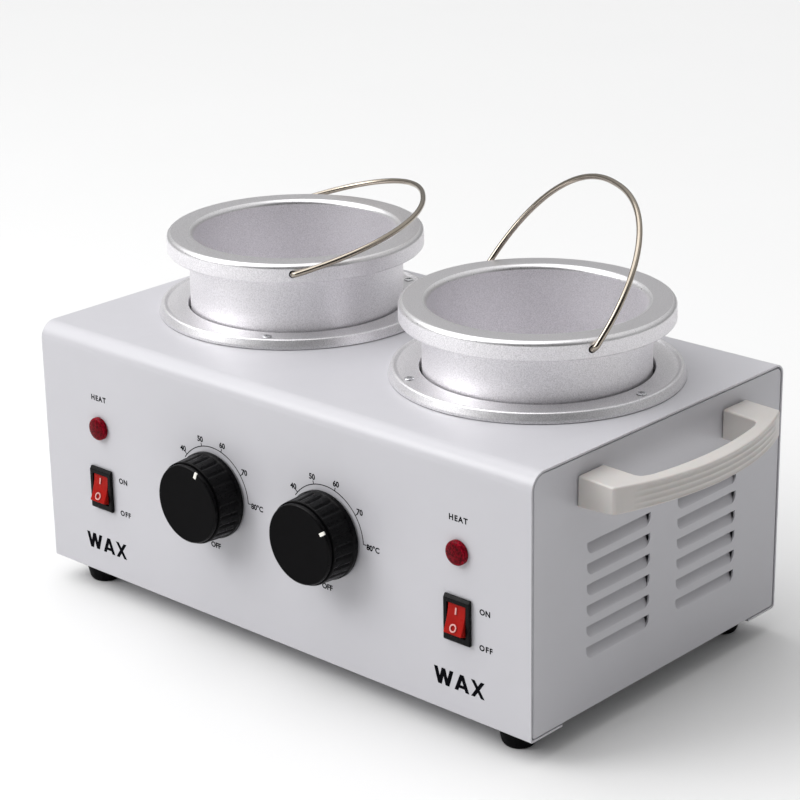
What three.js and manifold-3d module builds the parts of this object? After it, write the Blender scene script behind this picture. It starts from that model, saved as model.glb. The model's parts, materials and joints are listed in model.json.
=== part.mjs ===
// Double wax warmer for a beauty salon: two lift-out pots with wire bails stand in heated wells
// in one sheet-metal cabinet, each with its own thermostat knob, rocker switch and lamp.
// Millimetres, +Z up, front face towards -Y. Inside the code, x = y = 0 is the cabinet's centre
// and z = 0 is its underside; the last lines move the whole machine onto its feet.
import * as THREE from 'three';
import { mergeVertices } from 'three/addons/utils/BufferGeometryUtils.js';
import ManifoldModule from 'manifold-3d';

const wasm = await ManifoldModule();
wasm.setup();

// ---------------------------------------------------------------- driving dimensions

const GAP = 0.3; // clearance between pieces that rest on each other
const SHEET = 1.0; // thickness of all folded sheet metal

const CABINET = { length: 320, depth: 187, height: 127, flange: 22 };
const BEND = { frontTop: 8.5, rearTop: 5.2, rearBottom: 2.2, frontBottom: 1.0 };
const FRONT = -CABINET.depth / 2;
const REAR = CABINET.depth / 2;

const END_PANEL = { inset: 0.3, lip: 8, corner: 1.2, frontSeam: 0.9, topSeam: 0.6, rearSeam: 0.5 };
const PANEL_FACE = CABINET.length / 2 - END_PANEL.inset;
const LOUVRE = {
  length: 46, height: 6.2, corner: 4.5, depth: 3.2, top: 83.3, pitch: 10.15, rows: 6, columns: [-31.7, 34.7],
};

const HANDLE = { reach: 33.6, shoulder: 20.2, end: 62.5, footInner: 44.4, gripInner: 25.6, screwY: 53.4 };
// The moulding is thickest at the panel: how far it stands above and below its screws there, and its draft.
const HANDLE_DRAFT = { above: 7.5, below: 7.4, top: 0.039, bottom: 0.06 };

const FOOT = { x: 140, y: 77.5, height: 12, radius: 9.6, sole: 7.3, recess: 4.0, bore: 2.2, headRoom: 6 };

const POT_X = 79;
const POT_Y = 8.6;
const POT = { wall: 54.2, bore: 51.3, rim: 65, mouth: 54, height: 84, band: 9.5, floor: 3.5 };
const BAIL = {
  wire: 1.4, halfWidth: 66.8, height: 67.7, squareness: 2.26, bend: 2.4, end: 61, drop: 4.75, hole: 1.9,
};

const WELL_RING = { bore: 55.5, outer: 70.2, plate: 4.4, lip: 5.2, screwCircle: 63 };
const LINER = { bore: 56, wall: 1.2, flange: 68, floor: 67 };
const HEATER = { radius: 53, thickness: 8 };
const WELL_HOLE = 58; // opening in the cabinet's top sheet

const KNOB_X = 37.4;
const KNOB_Z = 66.5;
const KNOB = { reach: 17.9, face: 19.4, skirt: 21.5, standOff: 0.8, hub: 5, bore: 3.2 };
const POINTER = { inner: 15.6, outer: 19.0, width: 1.8, thickness: 0.8 };
const SHAFT_RADIUS = 2.9;
const THERMOSTAT = { width: 42, height: 34, depth: 26, screwOffset: 14 };

const SWITCH_X = 118.6;
const SWITCH_Z = 47.9;
const SWITCH = { width: 15.2, height: 22.2, bezel: 2.1, bodyWidth: 13, bodyHeight: 19, depth: 16, pocket: 9 };
const ROCKER = { width: 10.4, halfHeight: 7, tip: 3.4, middle: 2.6, tilt: 15 };

const LAMP_Z = 80.3;
const LAMP = { lens: 5.9, stem: 4.8, reach: 3.5, body: 24 };

const GLAND = { x: 112, z: 26, hole: 7.0, bore: 3.4 };

// What differs between the two sides, seen from the front. The left pot stands on a thicker pad, and the left
// handle hangs a little lower; grip is the height of a handle's screws.
const SIDES = [
  {
    name: 'left', sign: -1, rim: 168.7, bailTurn: -46.5, bailTilt: 73,
    pointer: 67.2, grip: 106, screws: [-59, 68, 184],
  },
  {
    name: 'right', sign: 1, rim: 164.0, bailTurn: -28.5, bailTilt: 35.1,
    pointer: 32.6, grip: 110, screws: [-120, -2, 118],
  },
];

// ---------------------------------------------------------------- materials

const FINISH = {
  enamel: { color: 0xd2d2d8, roughness: 0.32, metalness: 0.1 },
  zinc: { color: 0xb4b6ba, roughness: 0.45, metalness: 0.9 },
  blasted: { color: 0xc9c6ca, roughness: 0.5, metalness: 0.85 },
  wire: { color: 0xb9b09c, roughness: 0.22, metalness: 1.0 },
  ivory: { color: 0xd9d7cc, roughness: 0.42, metalness: 0.0 },
  blackPlastic: { color: 0x101012, roughness: 0.45, metalness: 0.0 },
  redPlastic: { color: 0xb02318, roughness: 0.28, metalness: 0.0 },
  redLens: { color: 0x7d0818, roughness: 0.12, metalness: 0.0 },
  white: { color: 0xf4f2ea, roughness: 0.5, metalness: 0.0 },
  rubber: { color: 0x141414, roughness: 0.8, metalness: 0.0 },
  fibre: { color: 0xdcd3bd, roughness: 0.95, metalness: 0.0 },
  bakelite: { color: 0x2b2320, roughness: 0.55, metalness: 0.0 },
  nylon: { color: 0xe6e4da, roughness: 0.6, metalness: 0.0 },
};

const machine = new THREE.Group();

function place(name, finish, geometry, parent = machine) {
  const mesh = new THREE.Mesh(geometry, new THREE.MeshStandardMaterial(FINISH[finish]));
  mesh.name = name;
  parent.add(mesh);
  return mesh;
}

// ---------------------------------------------------------------- solids

function fromTriangles(positions, triangles) {
  const geometry = new THREE.BufferGeometry();
  geometry.setAttribute('position', new THREE.Float32BufferAttribute(positions, 3));
  geometry.setIndex(triangles);
  return geometry;
}

function signedVolume(positions, triangles) {
  const [a, b, c] = [new THREE.Vector3(), new THREE.Vector3(), new THREE.Vector3()];
  let six = 0;
  for (let i = 0; i < triangles.length; i += 3) {
    a.fromArray(positions, 3 * triangles[i]);
    b.fromArray(positions, 3 * triangles[i + 1]);
    c.fromArray(positions, 3 * triangles[i + 2]);
    six += a.dot(b.cross(c));
  }
  return six / 6;
}

function flipped(triangles) {
  const turned = [];
  for (let i = 0; i < triangles.length; i += 3) {
    turned.push(triangles[i], triangles[i + 2], triangles[i + 1]);
  }
  return turned;
}

// Shared vertices, no collapsed triangles, faces pointing out.
function weld(source) {
  const bare = source.clone();
  bare.deleteAttribute('normal');
  bare.deleteAttribute('uv');
  const merged = mergeVertices(bare, 1e-4);
  const positions = Array.from(merged.attributes.position.array);
  const index = merged.index.array;
  const kept = [];
  for (let i = 0; i < index.length; i += 3) {
    const [p, q, r] = [index[i], index[i + 1], index[i + 2]];
    if (p !== q && q !== r && r !== p) kept.push(p, q, r);
  }
  const outward = signedVolume(positions, kept) < 0 ? flipped(kept) : kept;
  return fromTriangles(positions, outward);
}

function toSolid(geometry) {
  const welded = weld(geometry);
  return new wasm.Manifold(new wasm.Mesh({
    numProp: 3,
    vertProperties: Float32Array.from(welded.attributes.position.array),
    triVerts: Uint32Array.from(welded.index.array),
  }));
}

function toGeometry(solid) {
  const mesh = solid.getMesh();
  return fromTriangles(Array.from(mesh.vertProperties), Array.from(mesh.triVerts));
}

function cut(body, tools) {
  return toGeometry(tools.reduce((solid, tool) => solid.subtract(toSolid(tool)), toSolid(body)));
}

function join(body, extras) {
  return toGeometry(extras.reduce((solid, extra) => solid.add(toSolid(extra)), toSolid(body)));
}

function common(body, tool) {
  return toGeometry(toSolid(body).intersect(toSolid(tool)));
}

function mirrorX(geometry) {
  return weld(geometry.clone().scale(-1, 1, 1));
}

// ---------------------------------------------------------------- outlines and directions

const point = (x, y) => new THREE.Vector2(x, y);
const radians = THREE.MathUtils.degToRad;

// A path with rounded corners, each given as [x, y, radius]; a closed path has no plain ends.
function rounded(corners, steps = 4, closed = false) {
  const path = [];
  const count = corners.length;
  const at = (i) => point(corners[(i + count) % count][0], corners[(i + count) % count][1]);
  corners.forEach(([, , radius = 0], i) => {
    const corner = at(i);
    if (!radius || (!closed && (i === 0 || i === count - 1))) {
      path.push(corner);
      return;
    }
    const before = at(i - 1).sub(corner).normalize();
    const after = at(i + 1).sub(corner).normalize();
    const half = Math.acos(THREE.MathUtils.clamp(before.dot(after), -1, 1)) / 2;
    const reach = radius / Math.tan(half);
    const bisector = before.clone().add(after).normalize();
    const centre = corner.clone().addScaledVector(bisector, radius / Math.sin(half));
    const first = corner.clone().addScaledVector(before, reach).sub(centre).angle();
    const last = corner.clone().addScaledVector(after, reach).sub(centre).angle();
    const sweep = Math.atan2(Math.sin(last - first), Math.cos(last - first));
    for (let k = 0; k <= steps; k += 1) {
      const angle = first + (sweep * k) / steps;
      path.push(point(centre.x + radius * Math.cos(angle), centre.y + radius * Math.sin(angle)));
    }
  });
  return path;
}

function roundedLoop(corners, steps = 4) {
  return rounded(corners, steps, true);
}

function box2(x0, x1, y0, y1, radius = 0, steps = 3) {
  return roundedLoop([[x0, y0, radius], [x1, y0, radius], [x1, y1, radius], [x0, y1, radius]], steps);
}

// Points on the circle through three points, ends included.
function arcThrough(from, via, to, steps) {
  const [a, b, c] = [from, via, to].map(([x, y]) => point(x, y));
  const d = 2 * (a.x * (b.y - c.y) + b.x * (c.y - a.y) + c.x * (a.y - b.y));
  const [aa, bb, cc] = [a.lengthSq(), b.lengthSq(), c.lengthSq()];
  const centre = point(
    (aa * (b.y - c.y) + bb * (c.y - a.y) + cc * (a.y - b.y)) / d,
    (aa * (c.x - b.x) + bb * (a.x - c.x) + cc * (b.x - a.x)) / d,
  );
  const radius = a.distanceTo(centre);
  const first = a.clone().sub(centre).angle();
  const wrap = (angle) => Math.atan2(Math.sin(angle), Math.cos(angle));
  const sweep = wrap(c.clone().sub(centre).angle() - first);
  return Array.from({ length: steps + 1 }, (_, k) => {
    const angle = first + (sweep * k) / steps;
    return point(centre.x + radius * Math.cos(angle), centre.y + radius * Math.sin(angle));
  });
}

function extrude(outline, from, to, holes = []) {
  const shape = new THREE.Shape(outline);
  holes.forEach((hole) => shape.holes.push(new THREE.Path(hole)));
  return new THREE.ExtrudeGeometry(shape, { depth: to - from, bevelEnabled: false }).translate(0, 0, from);
}

const AXES = {
  // outline (y, z) swept along +X
  x: new THREE.Matrix4()
    .makeBasis(new THREE.Vector3(0, 1, 0), new THREE.Vector3(0, 0, 1), new THREE.Vector3(1, 0, 0)),
  // outline (x, z) swept towards the front, -Y, measured from the front face
  front: new THREE.Matrix4()
    .makeBasis(new THREE.Vector3(1, 0, 0), new THREE.Vector3(0, 0, 1), new THREE.Vector3(0, -1, 0))
    .setPosition(0, FRONT, 0),
};

function lathe(profile, segments) {
  const points = profile.map(([radius, height]) => point(radius, height));
  return weld(new THREE.LatheGeometry(points, segments).rotateX(Math.PI / 2));
}

function ringLathe(profile, segments) {
  return lathe([...profile, profile[0]], segments);
}

// A lathe whose axis stands out of the front face at (x, z).
function frontLathe(profile, segments, x, z) {
  return lathe(profile, segments).rotateX(Math.PI / 2).translate(x, FRONT, z);
}

// A cylinder tool along Z, centred on (x, y).
function bore(radius, x, y, z0, z1, segments = 12) {
  return new THREE.CylinderGeometry(radius, radius, z1 - z0, segments)
    .rotateX(Math.PI / 2)
    .translate(x, y, (z0 + z1) / 2);
}

function boreX(radius, y, z, x0, x1, segments = 12) {
  return new THREE.CylinderGeometry(radius, radius, x1 - x0, segments)
    .rotateZ(Math.PI / 2)
    .translate((x0 + x1) / 2, y, z);
}

function boreFront(radius, x, z, reach0, reach1, segments = 12) {
  return new THREE.CylinderGeometry(radius, radius, reach1 - reach0, segments)
    .translate(x, FRONT - (reach0 + reach1) / 2, z);
}

// A pan-head screw standing along +Z, with the underside of its head at z = 0.
function screw(head, headHeight, shank, length) {
  const profile = [
    [0, headHeight], [0.6 * head, headHeight], [head, 0.45 * headHeight], [head, 0],
    [shank, 0], [shank, -length],
    [0, -length],
  ];
  return lathe(profile, 10);
}

// ---------------------------------------------------------------- cabinet

// Front, top and rear are one folded sheet with a flange turned in along both bottom edges.
function cabinetWrap() {
  const path = (inset) => rounded([
    [FRONT + CABINET.flange, inset],
    [FRONT + inset, inset, Math.max(BEND.frontBottom - inset, 0)],
    [FRONT + inset, CABINET.height - inset, BEND.frontTop - inset],
    [REAR - inset, CABINET.height - inset, BEND.rearTop - inset],
    [REAR - inset, inset, BEND.rearBottom - inset],
    [REAR - CABINET.flange, inset],
  ]);
  const outline = [...path(0), ...path(SHEET).reverse()];
  const half = CABINET.length / 2;
  const sheet = extrude(outline, -half, half).applyMatrix4(AXES.x);
  const tools = [];
  for (const side of SIDES) {
    const top = [CABINET.height - 3, CABINET.height + 3];
    tools.push(bore(WELL_HOLE, side.sign * POT_X, POT_Y, ...top, 40));
    for (const [x, y] of ringScrewPlaces(side)) tools.push(bore(1.8, x, y, ...top, 8));
    const knobX = side.sign * KNOB_X;
    tools.push(boreFront(4.2, knobX, KNOB_Z, -3, 3));
    for (const dx of [-1, 1]) tools.push(boreFront(2.1, knobX + dx * THERMOSTAT.screwOffset, KNOB_Z, -3, 3, 8));
    const [w, h] = [SWITCH.bodyWidth / 2 + GAP, SWITCH.bodyHeight / 2 + GAP];
    const x = side.sign * SWITCH_X;
    tools.push(extrude(box2(x - w, x + w, SWITCH_Z - h, SWITCH_Z + h), -3, 3).applyMatrix4(AXES.front));
    tools.push(boreFront(LAMP.stem + 0.4, x, LAMP_Z, -3, 3));
    for (const y of [-FOOT.y, FOOT.y]) tools.push(bore(FOOT.bore, side.sign * FOOT.x, y, -1, 2, 8));
  }
  tools.push(bore(GLAND.hole, 0, 0, -3, 3, 16).rotateX(Math.PI / 2).translate(GLAND.x, REAR, GLAND.z));
  return cut(sheet, tools);
}

// The base is a flat plate that lies on the wrap's flanges, between the lips of the end panels.
function bottomPlate() {
  const end = PANEL_FACE - END_PANEL.lip - GAP;
  const z = SHEET + GAP;
  const plate = extrude(box2(-end, end, FRONT + 2, REAR - 2.8), z, z + SHEET);
  const holes = [];
  for (const x of [-FOOT.x, FOOT.x]) {
    for (const y of [-FOOT.y, FOOT.y]) holes.push(bore(FOOT.bore, x, y, 0, 4, 8));
  }
  return cut(plate, holes);
}

function endPanelOutline(inset) {
  const edge = SHEET + inset;
  const front = FRONT + edge + END_PANEL.frontSeam;
  const rear = REAR - edge - END_PANEL.rearSeam;
  const top = CABINET.height - edge - END_PANEL.topSeam;
  const bottom = edge + GAP;
  return roundedLoop([
    [front, bottom, END_PANEL.corner],
    [rear, bottom, END_PANEL.corner],
    [rear, top, BEND.rearTop - edge],
    [front, top, BEND.frontTop - edge - GAP],
  ]);
}

// Louvres are tongues lanced on three sides and pressed inward, so they lean in towards the top.
function louvreTools(y, top) {
  const half = LOUVRE.length / 2;
  const low = top - LOUVRE.height;
  const outline = roundedLoop([
    [y - half, low, LOUVRE.corner], [y + half, low, LOUVRE.corner], [y + half, top], [y - half, top],
  ], 3);
  const opening = extrude(outline, PANEL_FACE - 8, PANEL_FACE + 2).applyMatrix4(AXES.x);
  const tongue = extrude(
    [
      point(PANEL_FACE - SHEET, low - 0.5),
      point(PANEL_FACE, low - 0.5),
      point(PANEL_FACE, low + 0.2),
      point(PANEL_FACE - LOUVRE.depth, top + 0.5),
      point(PANEL_FACE - LOUVRE.depth - SHEET, top + 0.5),
      point(PANEL_FACE - SHEET, low + 0.4),
    ],
    -y - half - 1,
    -y + half + 1,
  ).rotateX(Math.PI / 2);
  return { opening, tongue: common(opening, tongue) };
}

function endPanel(side) {
  const tray = extrude(endPanelOutline(0), PANEL_FACE - END_PANEL.lip, PANEL_FACE).applyMatrix4(AXES.x);
  const hollow = extrude(endPanelOutline(SHEET), PANEL_FACE - END_PANEL.lip - 1, PANEL_FACE - SHEET)
    .applyMatrix4(AXES.x);
  const holes = [-HANDLE.screwY, HANDLE.screwY]
    .map((y) => boreX(2.1, y, side.grip, PANEL_FACE - 3, PANEL_FACE + 2, 8));
  const tongues = [];
  for (const column of LOUVRE.columns) {
    for (let row = 0; row < LOUVRE.rows; row += 1) {
      const { opening, tongue } = louvreTools(column, LOUVRE.top - row * LOUVRE.pitch);
      holes.push(opening);
      tongues.push(tongue);
    }
  }
  return join(cut(tray, [hollow, ...holes]), tongues);
}

// A bow handle with a block foot at each end; the grip's outer and inner faces are arcs, and its upper and
// lower faces draw together outwards.
function handle(side) {
  const u = (reach) => PANEL_FACE + reach;
  const { shoulder, end, footInner, screwY } = HANDLE;
  const outline = [
    point(u(GAP), -end),
    point(u(shoulder - 1.7), -end),
    ...arcThrough([u(shoulder), -end + 0.8], [u(HANDLE.reach), 0], [u(shoulder), end - 0.8], 12),
    point(u(shoulder - 1.7), end),
    point(u(GAP), end),
    point(u(GAP), footInner),
    point(u(19.4), footInner - 0.5),
    ...arcThrough([u(21.4), footInner - 2.8], [u(HANDLE.gripInner), 0], [u(21.4), -footInner + 2.8], 8),
    point(u(19.4), -footInner + 0.5),
    point(u(GAP), -footInner),
  ];
  const grip = extrude(outline, 0, 1);
  const corners = grip.getAttribute('position');
  for (let i = 0; i < corners.count; i += 1) {
    const reach = corners.getX(i) - PANEL_FACE;
    const above = HANDLE_DRAFT.above - HANDLE_DRAFT.top * reach;
    const below = HANDLE_DRAFT.below - HANDLE_DRAFT.bottom * reach;
    corners.setZ(i, side.grip + (corners.getZ(i) > 0.5 ? above : -below));
  }
  const pilots = [-screwY, screwY].map((y) => boreX(1.9, y, side.grip, PANEL_FACE - 1, PANEL_FACE + 11, 8));
  return cut(grip, pilots);
}

function handleScrew(side, y) {
  return screw(3.4, 2, 1.5, 11).rotateY(-Math.PI / 2).translate(PANEL_FACE - SHEET - GAP, y, side.grip);
}

function foot() {
  const { height, radius, sole, recess, headRoom } = FOOT;
  return ringLathe([
    [FOOT.bore, -GAP], [radius, -GAP], [radius, -0.45 * height], [0.94 * radius, -0.78 * height],
    [sole, -height],
    [recess, -height], [recess, -headRoom], [FOOT.bore, -headRoom],
  ], 16);
}

function footScrew() {
  return screw(3.4, 2, 1.7, 11).rotateX(Math.PI).translate(0, 0, -FOOT.headRoom - GAP);
}

function buildCabinet() {
  place('cabinet_wrap', 'enamel', cabinetWrap());
  place('bottom_plate', 'zinc', bottomPlate());
  const turned = { left: mirrorX, right: (geometry) => geometry };
  for (const side of SIDES) {
    const turn = turned[side.name];
    place(`${side.name}_end_panel`, 'enamel', turn(endPanel(side)));
    place(`${side.name}_handle`, 'ivory', turn(handle(side)));
    for (const [where, ySign] of [['front', -1], ['rear', 1]]) {
      place(`${side.name}_handle_${where}_screw`, 'zinc', turn(handleScrew(side, ySign * HANDLE.screwY)));
      const rubber = place(`${where}_${side.name}_foot`, 'rubber', foot());
      rubber.position.set(side.sign * FOOT.x, ySign * FOOT.y, 0);
      const fixing = place(`${where}_${side.name}_foot_screw`, 'zinc', footScrew());
      fixing.position.copy(rubber.position);
    }
  }
}

// ---------------------------------------------------------------- wells

function ringScrewPlaces(side) {
  return side.screws.map((degrees) => [
    side.sign * POT_X + WELL_RING.screwCircle * Math.cos(radians(degrees)),
    POT_Y + WELL_RING.screwCircle * Math.sin(radians(degrees)),
  ]);
}

// Cast ring that trims the well: a flat plate with a rounded raised lip and a sloping outer side.
function wellRing(side) {
  const { bore: inner, outer, plate, lip } = WELL_RING;
  const ring = ringLathe([
    [inner, GAP], [outer, GAP], [outer - 0.3, 1.5], [outer - 1.0, lip - 1.0], [outer - 1.8, lip],
    [outer - 2.6, lip - 0.05], [outer - 4.0, plate], [inner, plate],
  ], 40);
  const x0 = side.sign * POT_X;
  const holes = ringScrewPlaces(side).map(([x, y]) => bore(1.8, x - x0, y - POT_Y, -1, 8, 8));
  return cut(ring, holes);
}

// Drawn steel cup under the top sheet, held by the ring's screws.
function wellLiner(side) {
  const { bore: inner, wall, flange, floor } = LINER;
  const under = CABINET.height - SHEET - GAP;
  const cup = lathe([
    [0, floor], [inner + wall, floor], [inner + wall, under - wall], [flange, under - wall], [flange, under],
    [inner, under], [inner, floor + wall], [0, floor + wall],
  ], 36);
  const x0 = side.sign * POT_X;
  const holes = ringScrewPlaces(side).map(([x, y]) => bore(1.8, x - x0, y - POT_Y, under - 4, under + 2, 8));
  return cut(cup, holes);
}

function disc(radius, z0, z1) {
  return lathe([[0, z0], [radius, z0], [radius, z1], [0, z1]], 32);
}

function buildWell(side) {
  const well = new THREE.Group();
  well.position.set(side.sign * POT_X, POT_Y, 0);
  machine.add(well);
  const potBottom = side.rim - POT.height;
  const plateTop = potBottom - GAP;
  const padBottom = LINER.floor + LINER.wall + GAP;
  const ring = place(`${side.name}_well_ring`, 'blasted', wellRing(side), well);
  ring.position.z = CABINET.height;
  place(`${side.name}_well_liner`, 'zinc', wellLiner(side), well);
  const plateBottom = plateTop - HEATER.thickness;
  place(`${side.name}_heater_plate`, 'blasted', disc(HEATER.radius, plateBottom, plateTop), well);
  place(`${side.name}_insulation_pad`, 'fibre', disc(HEATER.radius, padBottom, plateBottom - GAP), well);
  ringScrewPlaces(side).forEach(([x, y], i) => {
    const fixing = place(`${side.name}_well_ring_screw_${i + 1}`, 'zinc', screw(2.6, 1.0, 1.4, 9));
    fixing.position.set(x, y, CABINET.height + WELL_RING.plate + GAP);
  });
}

// ---------------------------------------------------------------- pots

// Thick-walled aluminium pot with a solid rim band, drilled for the bail on both sides.
function potBody(side) {
  const { wall, bore: inner, rim, mouth, height, band, floor } = POT;
  const cup = lathe([
    [0, 0], [wall - 3, 0], [wall - 0.9, 0.9], [wall, 3],
    [wall, height - band], [rim - 0.8, height - band], [rim, height - band + 0.8],
    [rim, height - 2.5], [rim - 0.8, height - 0.8], [rim - 2.5, height],
    [mouth, height], [inner + 0.8, height - 0.9], [inner, height - 3],
    [inner, floor + 4], [inner - 1.2, floor + 1.2], [inner - 4, floor], [0, floor],
  ], 40);
  const pivot = height - BAIL.drop;
  const holes = [0, Math.PI].map((turn) => boreX(BAIL.hole, 0, pivot, BAIL.end - 1.5, rim + 3)
    .rotateZ(turn + radians(side.bailTurn)));
  return cut(cup, holes);
}

// Round wire of the given radius along a path in the XZ plane, mitred at every bend.
function sweepWire(path, radius, sides) {
  const positions = [];
  const triangles = [];
  path.forEach((here, i) => {
    const arriving = here.clone().sub(path[Math.max(i - 1, 0)]).normalize();
    const leaving = path[Math.min(i + 1, path.length - 1)].clone().sub(here).normalize();
    const along = arriving.clone().add(leaving).normalize();
    const stretch = 1 / Math.max(along.dot(i === 0 ? leaving : arriving), 0.5);
    for (let k = 0; k < sides; k += 1) {
      const angle = (2 * Math.PI * (k + 0.5)) / sides;
      const across = radius * stretch * Math.cos(angle);
      positions.push(here.x + along.y * across, radius * Math.sin(angle), here.y - along.x * across);
    }
  });
  for (let i = 0; i < path.length - 1; i += 1) {
    for (let k = 0; k < sides; k += 1) {
      const [p, q] = [i * sides + k, i * sides + ((k + 1) % sides)];
      triangles.push(p, q, q + sides, p, q + sides, p + sides);
    }
  }
  const last = (path.length - 1) * sides;
  for (let k = 1; k < sides - 1; k += 1) {
    triangles.push(0, k + 1, k);
    triangles.push(last, last + k, last + k + 1);
  }
  return weld(fromTriangles(positions, triangles));
}

// One half of the bail: a stub along the pivot line, a tight bend, then a slightly squared arch.
function bailWire() {
  const { halfWidth, height, squareness, end, bend, wire } = BAIL;
  const half = [point(end, 0), point(halfWidth - bend - 1.5, 0)];
  for (let i = 0; i <= 4; i += 1) {
    const angle = (Math.PI / 8) * i;
    half.push(point(halfWidth - bend + bend * Math.sin(angle), bend - bend * Math.cos(angle)));
  }
  for (let i = 0; i <= 15; i += 1) {
    const angle = radians(8 + (82 * i) / 15);
    half.push(point(
      halfWidth * Math.cos(angle) ** (2 / squareness),
      height * Math.sin(angle) ** (2 / squareness),
    ));
  }
  half[half.length - 1].x = 0;
  const mirrored = half.slice(0, -1).reverse().map((p) => point(-p.x, p.y));
  return sweepWire([...half, ...mirrored], wire, 8);
}

function buildPot(side) {
  const pot = new THREE.Group();
  pot.position.set(side.sign * POT_X, POT_Y, side.rim - POT.height);
  machine.add(pot);
  place(`${side.name}_pot`, 'blasted', potBody(side), pot);
  const turntable = new THREE.Group();
  turntable.position.z = POT.height - BAIL.drop;
  turntable.rotation.z = radians(side.bailTurn);
  pot.add(turntable);
  const bail = place(`${side.name}_bail`, 'wire', bailWire(), turntable);
  bail.rotation.x = -radians(side.bailTilt);
}

// ---------------------------------------------------------------- controls

// Hollow knob: skirt, tapered grip, narrower cap; the hub inside takes the thermostat's shaft.
function knobBody(side) {
  const { reach, face, skirt, standOff, hub, bore: hole } = KNOB;
  const body = lathe([
    [0, reach], [face - 0.6, reach], [face, reach - 0.6], [face, reach - 1.8], [face - 0.5, reach - 2.2],
    [face + 0.5, reach - 2.6], [skirt - 0.5, 4], [skirt, 3.6], [skirt, standOff],
    [skirt - 2, standOff], [skirt - 2.4, 7.5], [hub, 8], [hub, 3.2], [hole, 3.2], [hole, 14], [0, 14],
  ], 36);
  const { inner, outer, width, thickness } = POINTER;
  const clear = GAP;
  const pocket = extrude(
    box2(inner - clear, outer + clear, -width / 2 - clear, width / 2 + clear),
    reach - thickness - clear + 0.1,
    reach + 1,
  ).rotateZ(radians(side.pointer));
  return onFront(cut(body, [pocket]), side.sign * KNOB_X, KNOB_Z);
}

// Turns a piece that stands along +Z, drawn as seen from the front, to stand out of the front face.
function onFront(geometry, x, z) {
  return geometry.rotateX(Math.PI / 2).translate(x, FRONT, z);
}

function pointerInsert(side) {
  const { inner, outer, width, thickness } = POINTER;
  const back = KNOB.reach - thickness + 0.1;
  const bar = extrude(box2(inner, outer, -width / 2, width / 2), back, back + thickness);
  return onFront(bar.rotateZ(radians(side.pointer)), side.sign * KNOB_X, KNOB_Z);
}

function thermostatBody(side) {
  const { width, height, depth, screwOffset } = THERMOSTAT;
  const x = side.sign * KNOB_X;
  const back = -SHEET - GAP;
  const block = extrude(
    box2(x - width / 2, x + width / 2, KNOB_Z - height / 2, KNOB_Z + height / 2, 4),
    back - depth,
    back,
  ).applyMatrix4(AXES.front);
  const cap = boreFront(11, x, KNOB_Z, back - depth - 5, back - depth + 1, 20);
  const holes = [boreFront(SHAFT_RADIUS + 0.4, x, KNOB_Z, -13, 2)];
  for (const dx of [-screwOffset, screwOffset]) holes.push(boreFront(2.1, x + dx, KNOB_Z, -11, 2, 8));
  return cut(join(block, [cap]), holes);
}

function switchHousing(side) {
  const { width, height, bezel, bodyWidth, bodyHeight, depth, pocket } = SWITCH;
  const frame = extrude(box2(-width / 2, width / 2, -height / 2, height / 2, 1.2), GAP, bezel);
  const body = extrude(
    box2(-bodyWidth / 2, bodyWidth / 2, -bodyHeight / 2, bodyHeight / 2), -depth, bezel - 0.5,
  );
  const well = extrude(box2(-5.6, 5.6, -7.9, 7.9), -pocket, bezel + 1);
  const blades = [-6, 0, 6].map((z) => extrude(box2(-2.4, 2.4, z - 0.4, z + 0.4), -depth - 8, -depth + 1));
  return onFront(cut(join(frame, [body, ...blades]), [well]), side.sign * SWITCH_X, SWITCH_Z);
}

// The rocker's pivot lies in the plane of the front face, close to its centre of mass.
function rockerBody() {
  const { width, halfHeight, tip, middle } = ROCKER;
  const profile = [
    point(-tip, halfHeight), point(-middle - 0.2, halfHeight / 2), point(-middle, 0),
    point(-middle - 0.2, -halfHeight / 2), point(-tip, -halfHeight),
    point(1.5, -halfHeight - 0.3), point(4, -3), point(4, 3), point(1.5, halfHeight + 0.3),
  ];
  return weld(extrude(profile, -width / 2, width / 2).applyMatrix4(AXES.x));
}

function lampLens(x) {
  const { lens, stem, reach } = LAMP;
  const profile = [
    [0, reach], [0.5 * lens, reach - 0.2], [0.8 * lens, reach - 0.6], [lens - 0.3, reach - 1.2], [lens, 1.6],
    [lens, GAP], [stem, GAP], [stem, -3], [0, -3],
  ];
  return frontLathe(profile, 20, x, LAMP_Z);
}

function lampBody(x) {
  const { stem, body } = LAMP;
  return frontLathe([[0, -3 - GAP], [stem, -3 - GAP], [stem, -body], [0, -body]], 12, x, LAMP_Z);
}

function buildControls(side) {
  const { name, sign } = side;
  const knobX = sign * KNOB_X;
  place(`${name}_knob`, 'blackPlastic', knobBody(side));
  place(`${name}_knob_pointer`, 'white', pointerInsert(side));
  place(`${name}_thermostat_shaft`, 'zinc', boreFront(SHAFT_RADIUS, knobX, KNOB_Z, -12, 13.7, 16));
  place(`${name}_thermostat`, 'bakelite', thermostatBody(side));
  for (const [i, dx] of [-THERMOSTAT.screwOffset, THERMOSTAT.screwOffset].entries()) {
    const fixing = screw(3.2, 1.8, 1.7, 10).translate(0, 0, GAP);
    place(`${name}_thermostat_screw_${i + 1}`, 'zinc', onFront(fixing, knobX + dx, KNOB_Z));
  }
  place(`${name}_switch_housing`, 'blackPlastic', switchHousing(side));
  const rocker = place(`${name}_rocker`, 'redPlastic', rockerBody());
  rocker.position.set(sign * SWITCH_X, FRONT, SWITCH_Z);
  rocker.rotation.x = -radians(ROCKER.tilt);
  place(`${name}_lamp_lens`, 'redLens', lampLens(sign * SWITCH_X));
  place(`${name}_lamp_body`, 'nylon', lampBody(sign * SWITCH_X));
}

// ---------------------------------------------------------------- wiring inside and cord bushing

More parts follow.
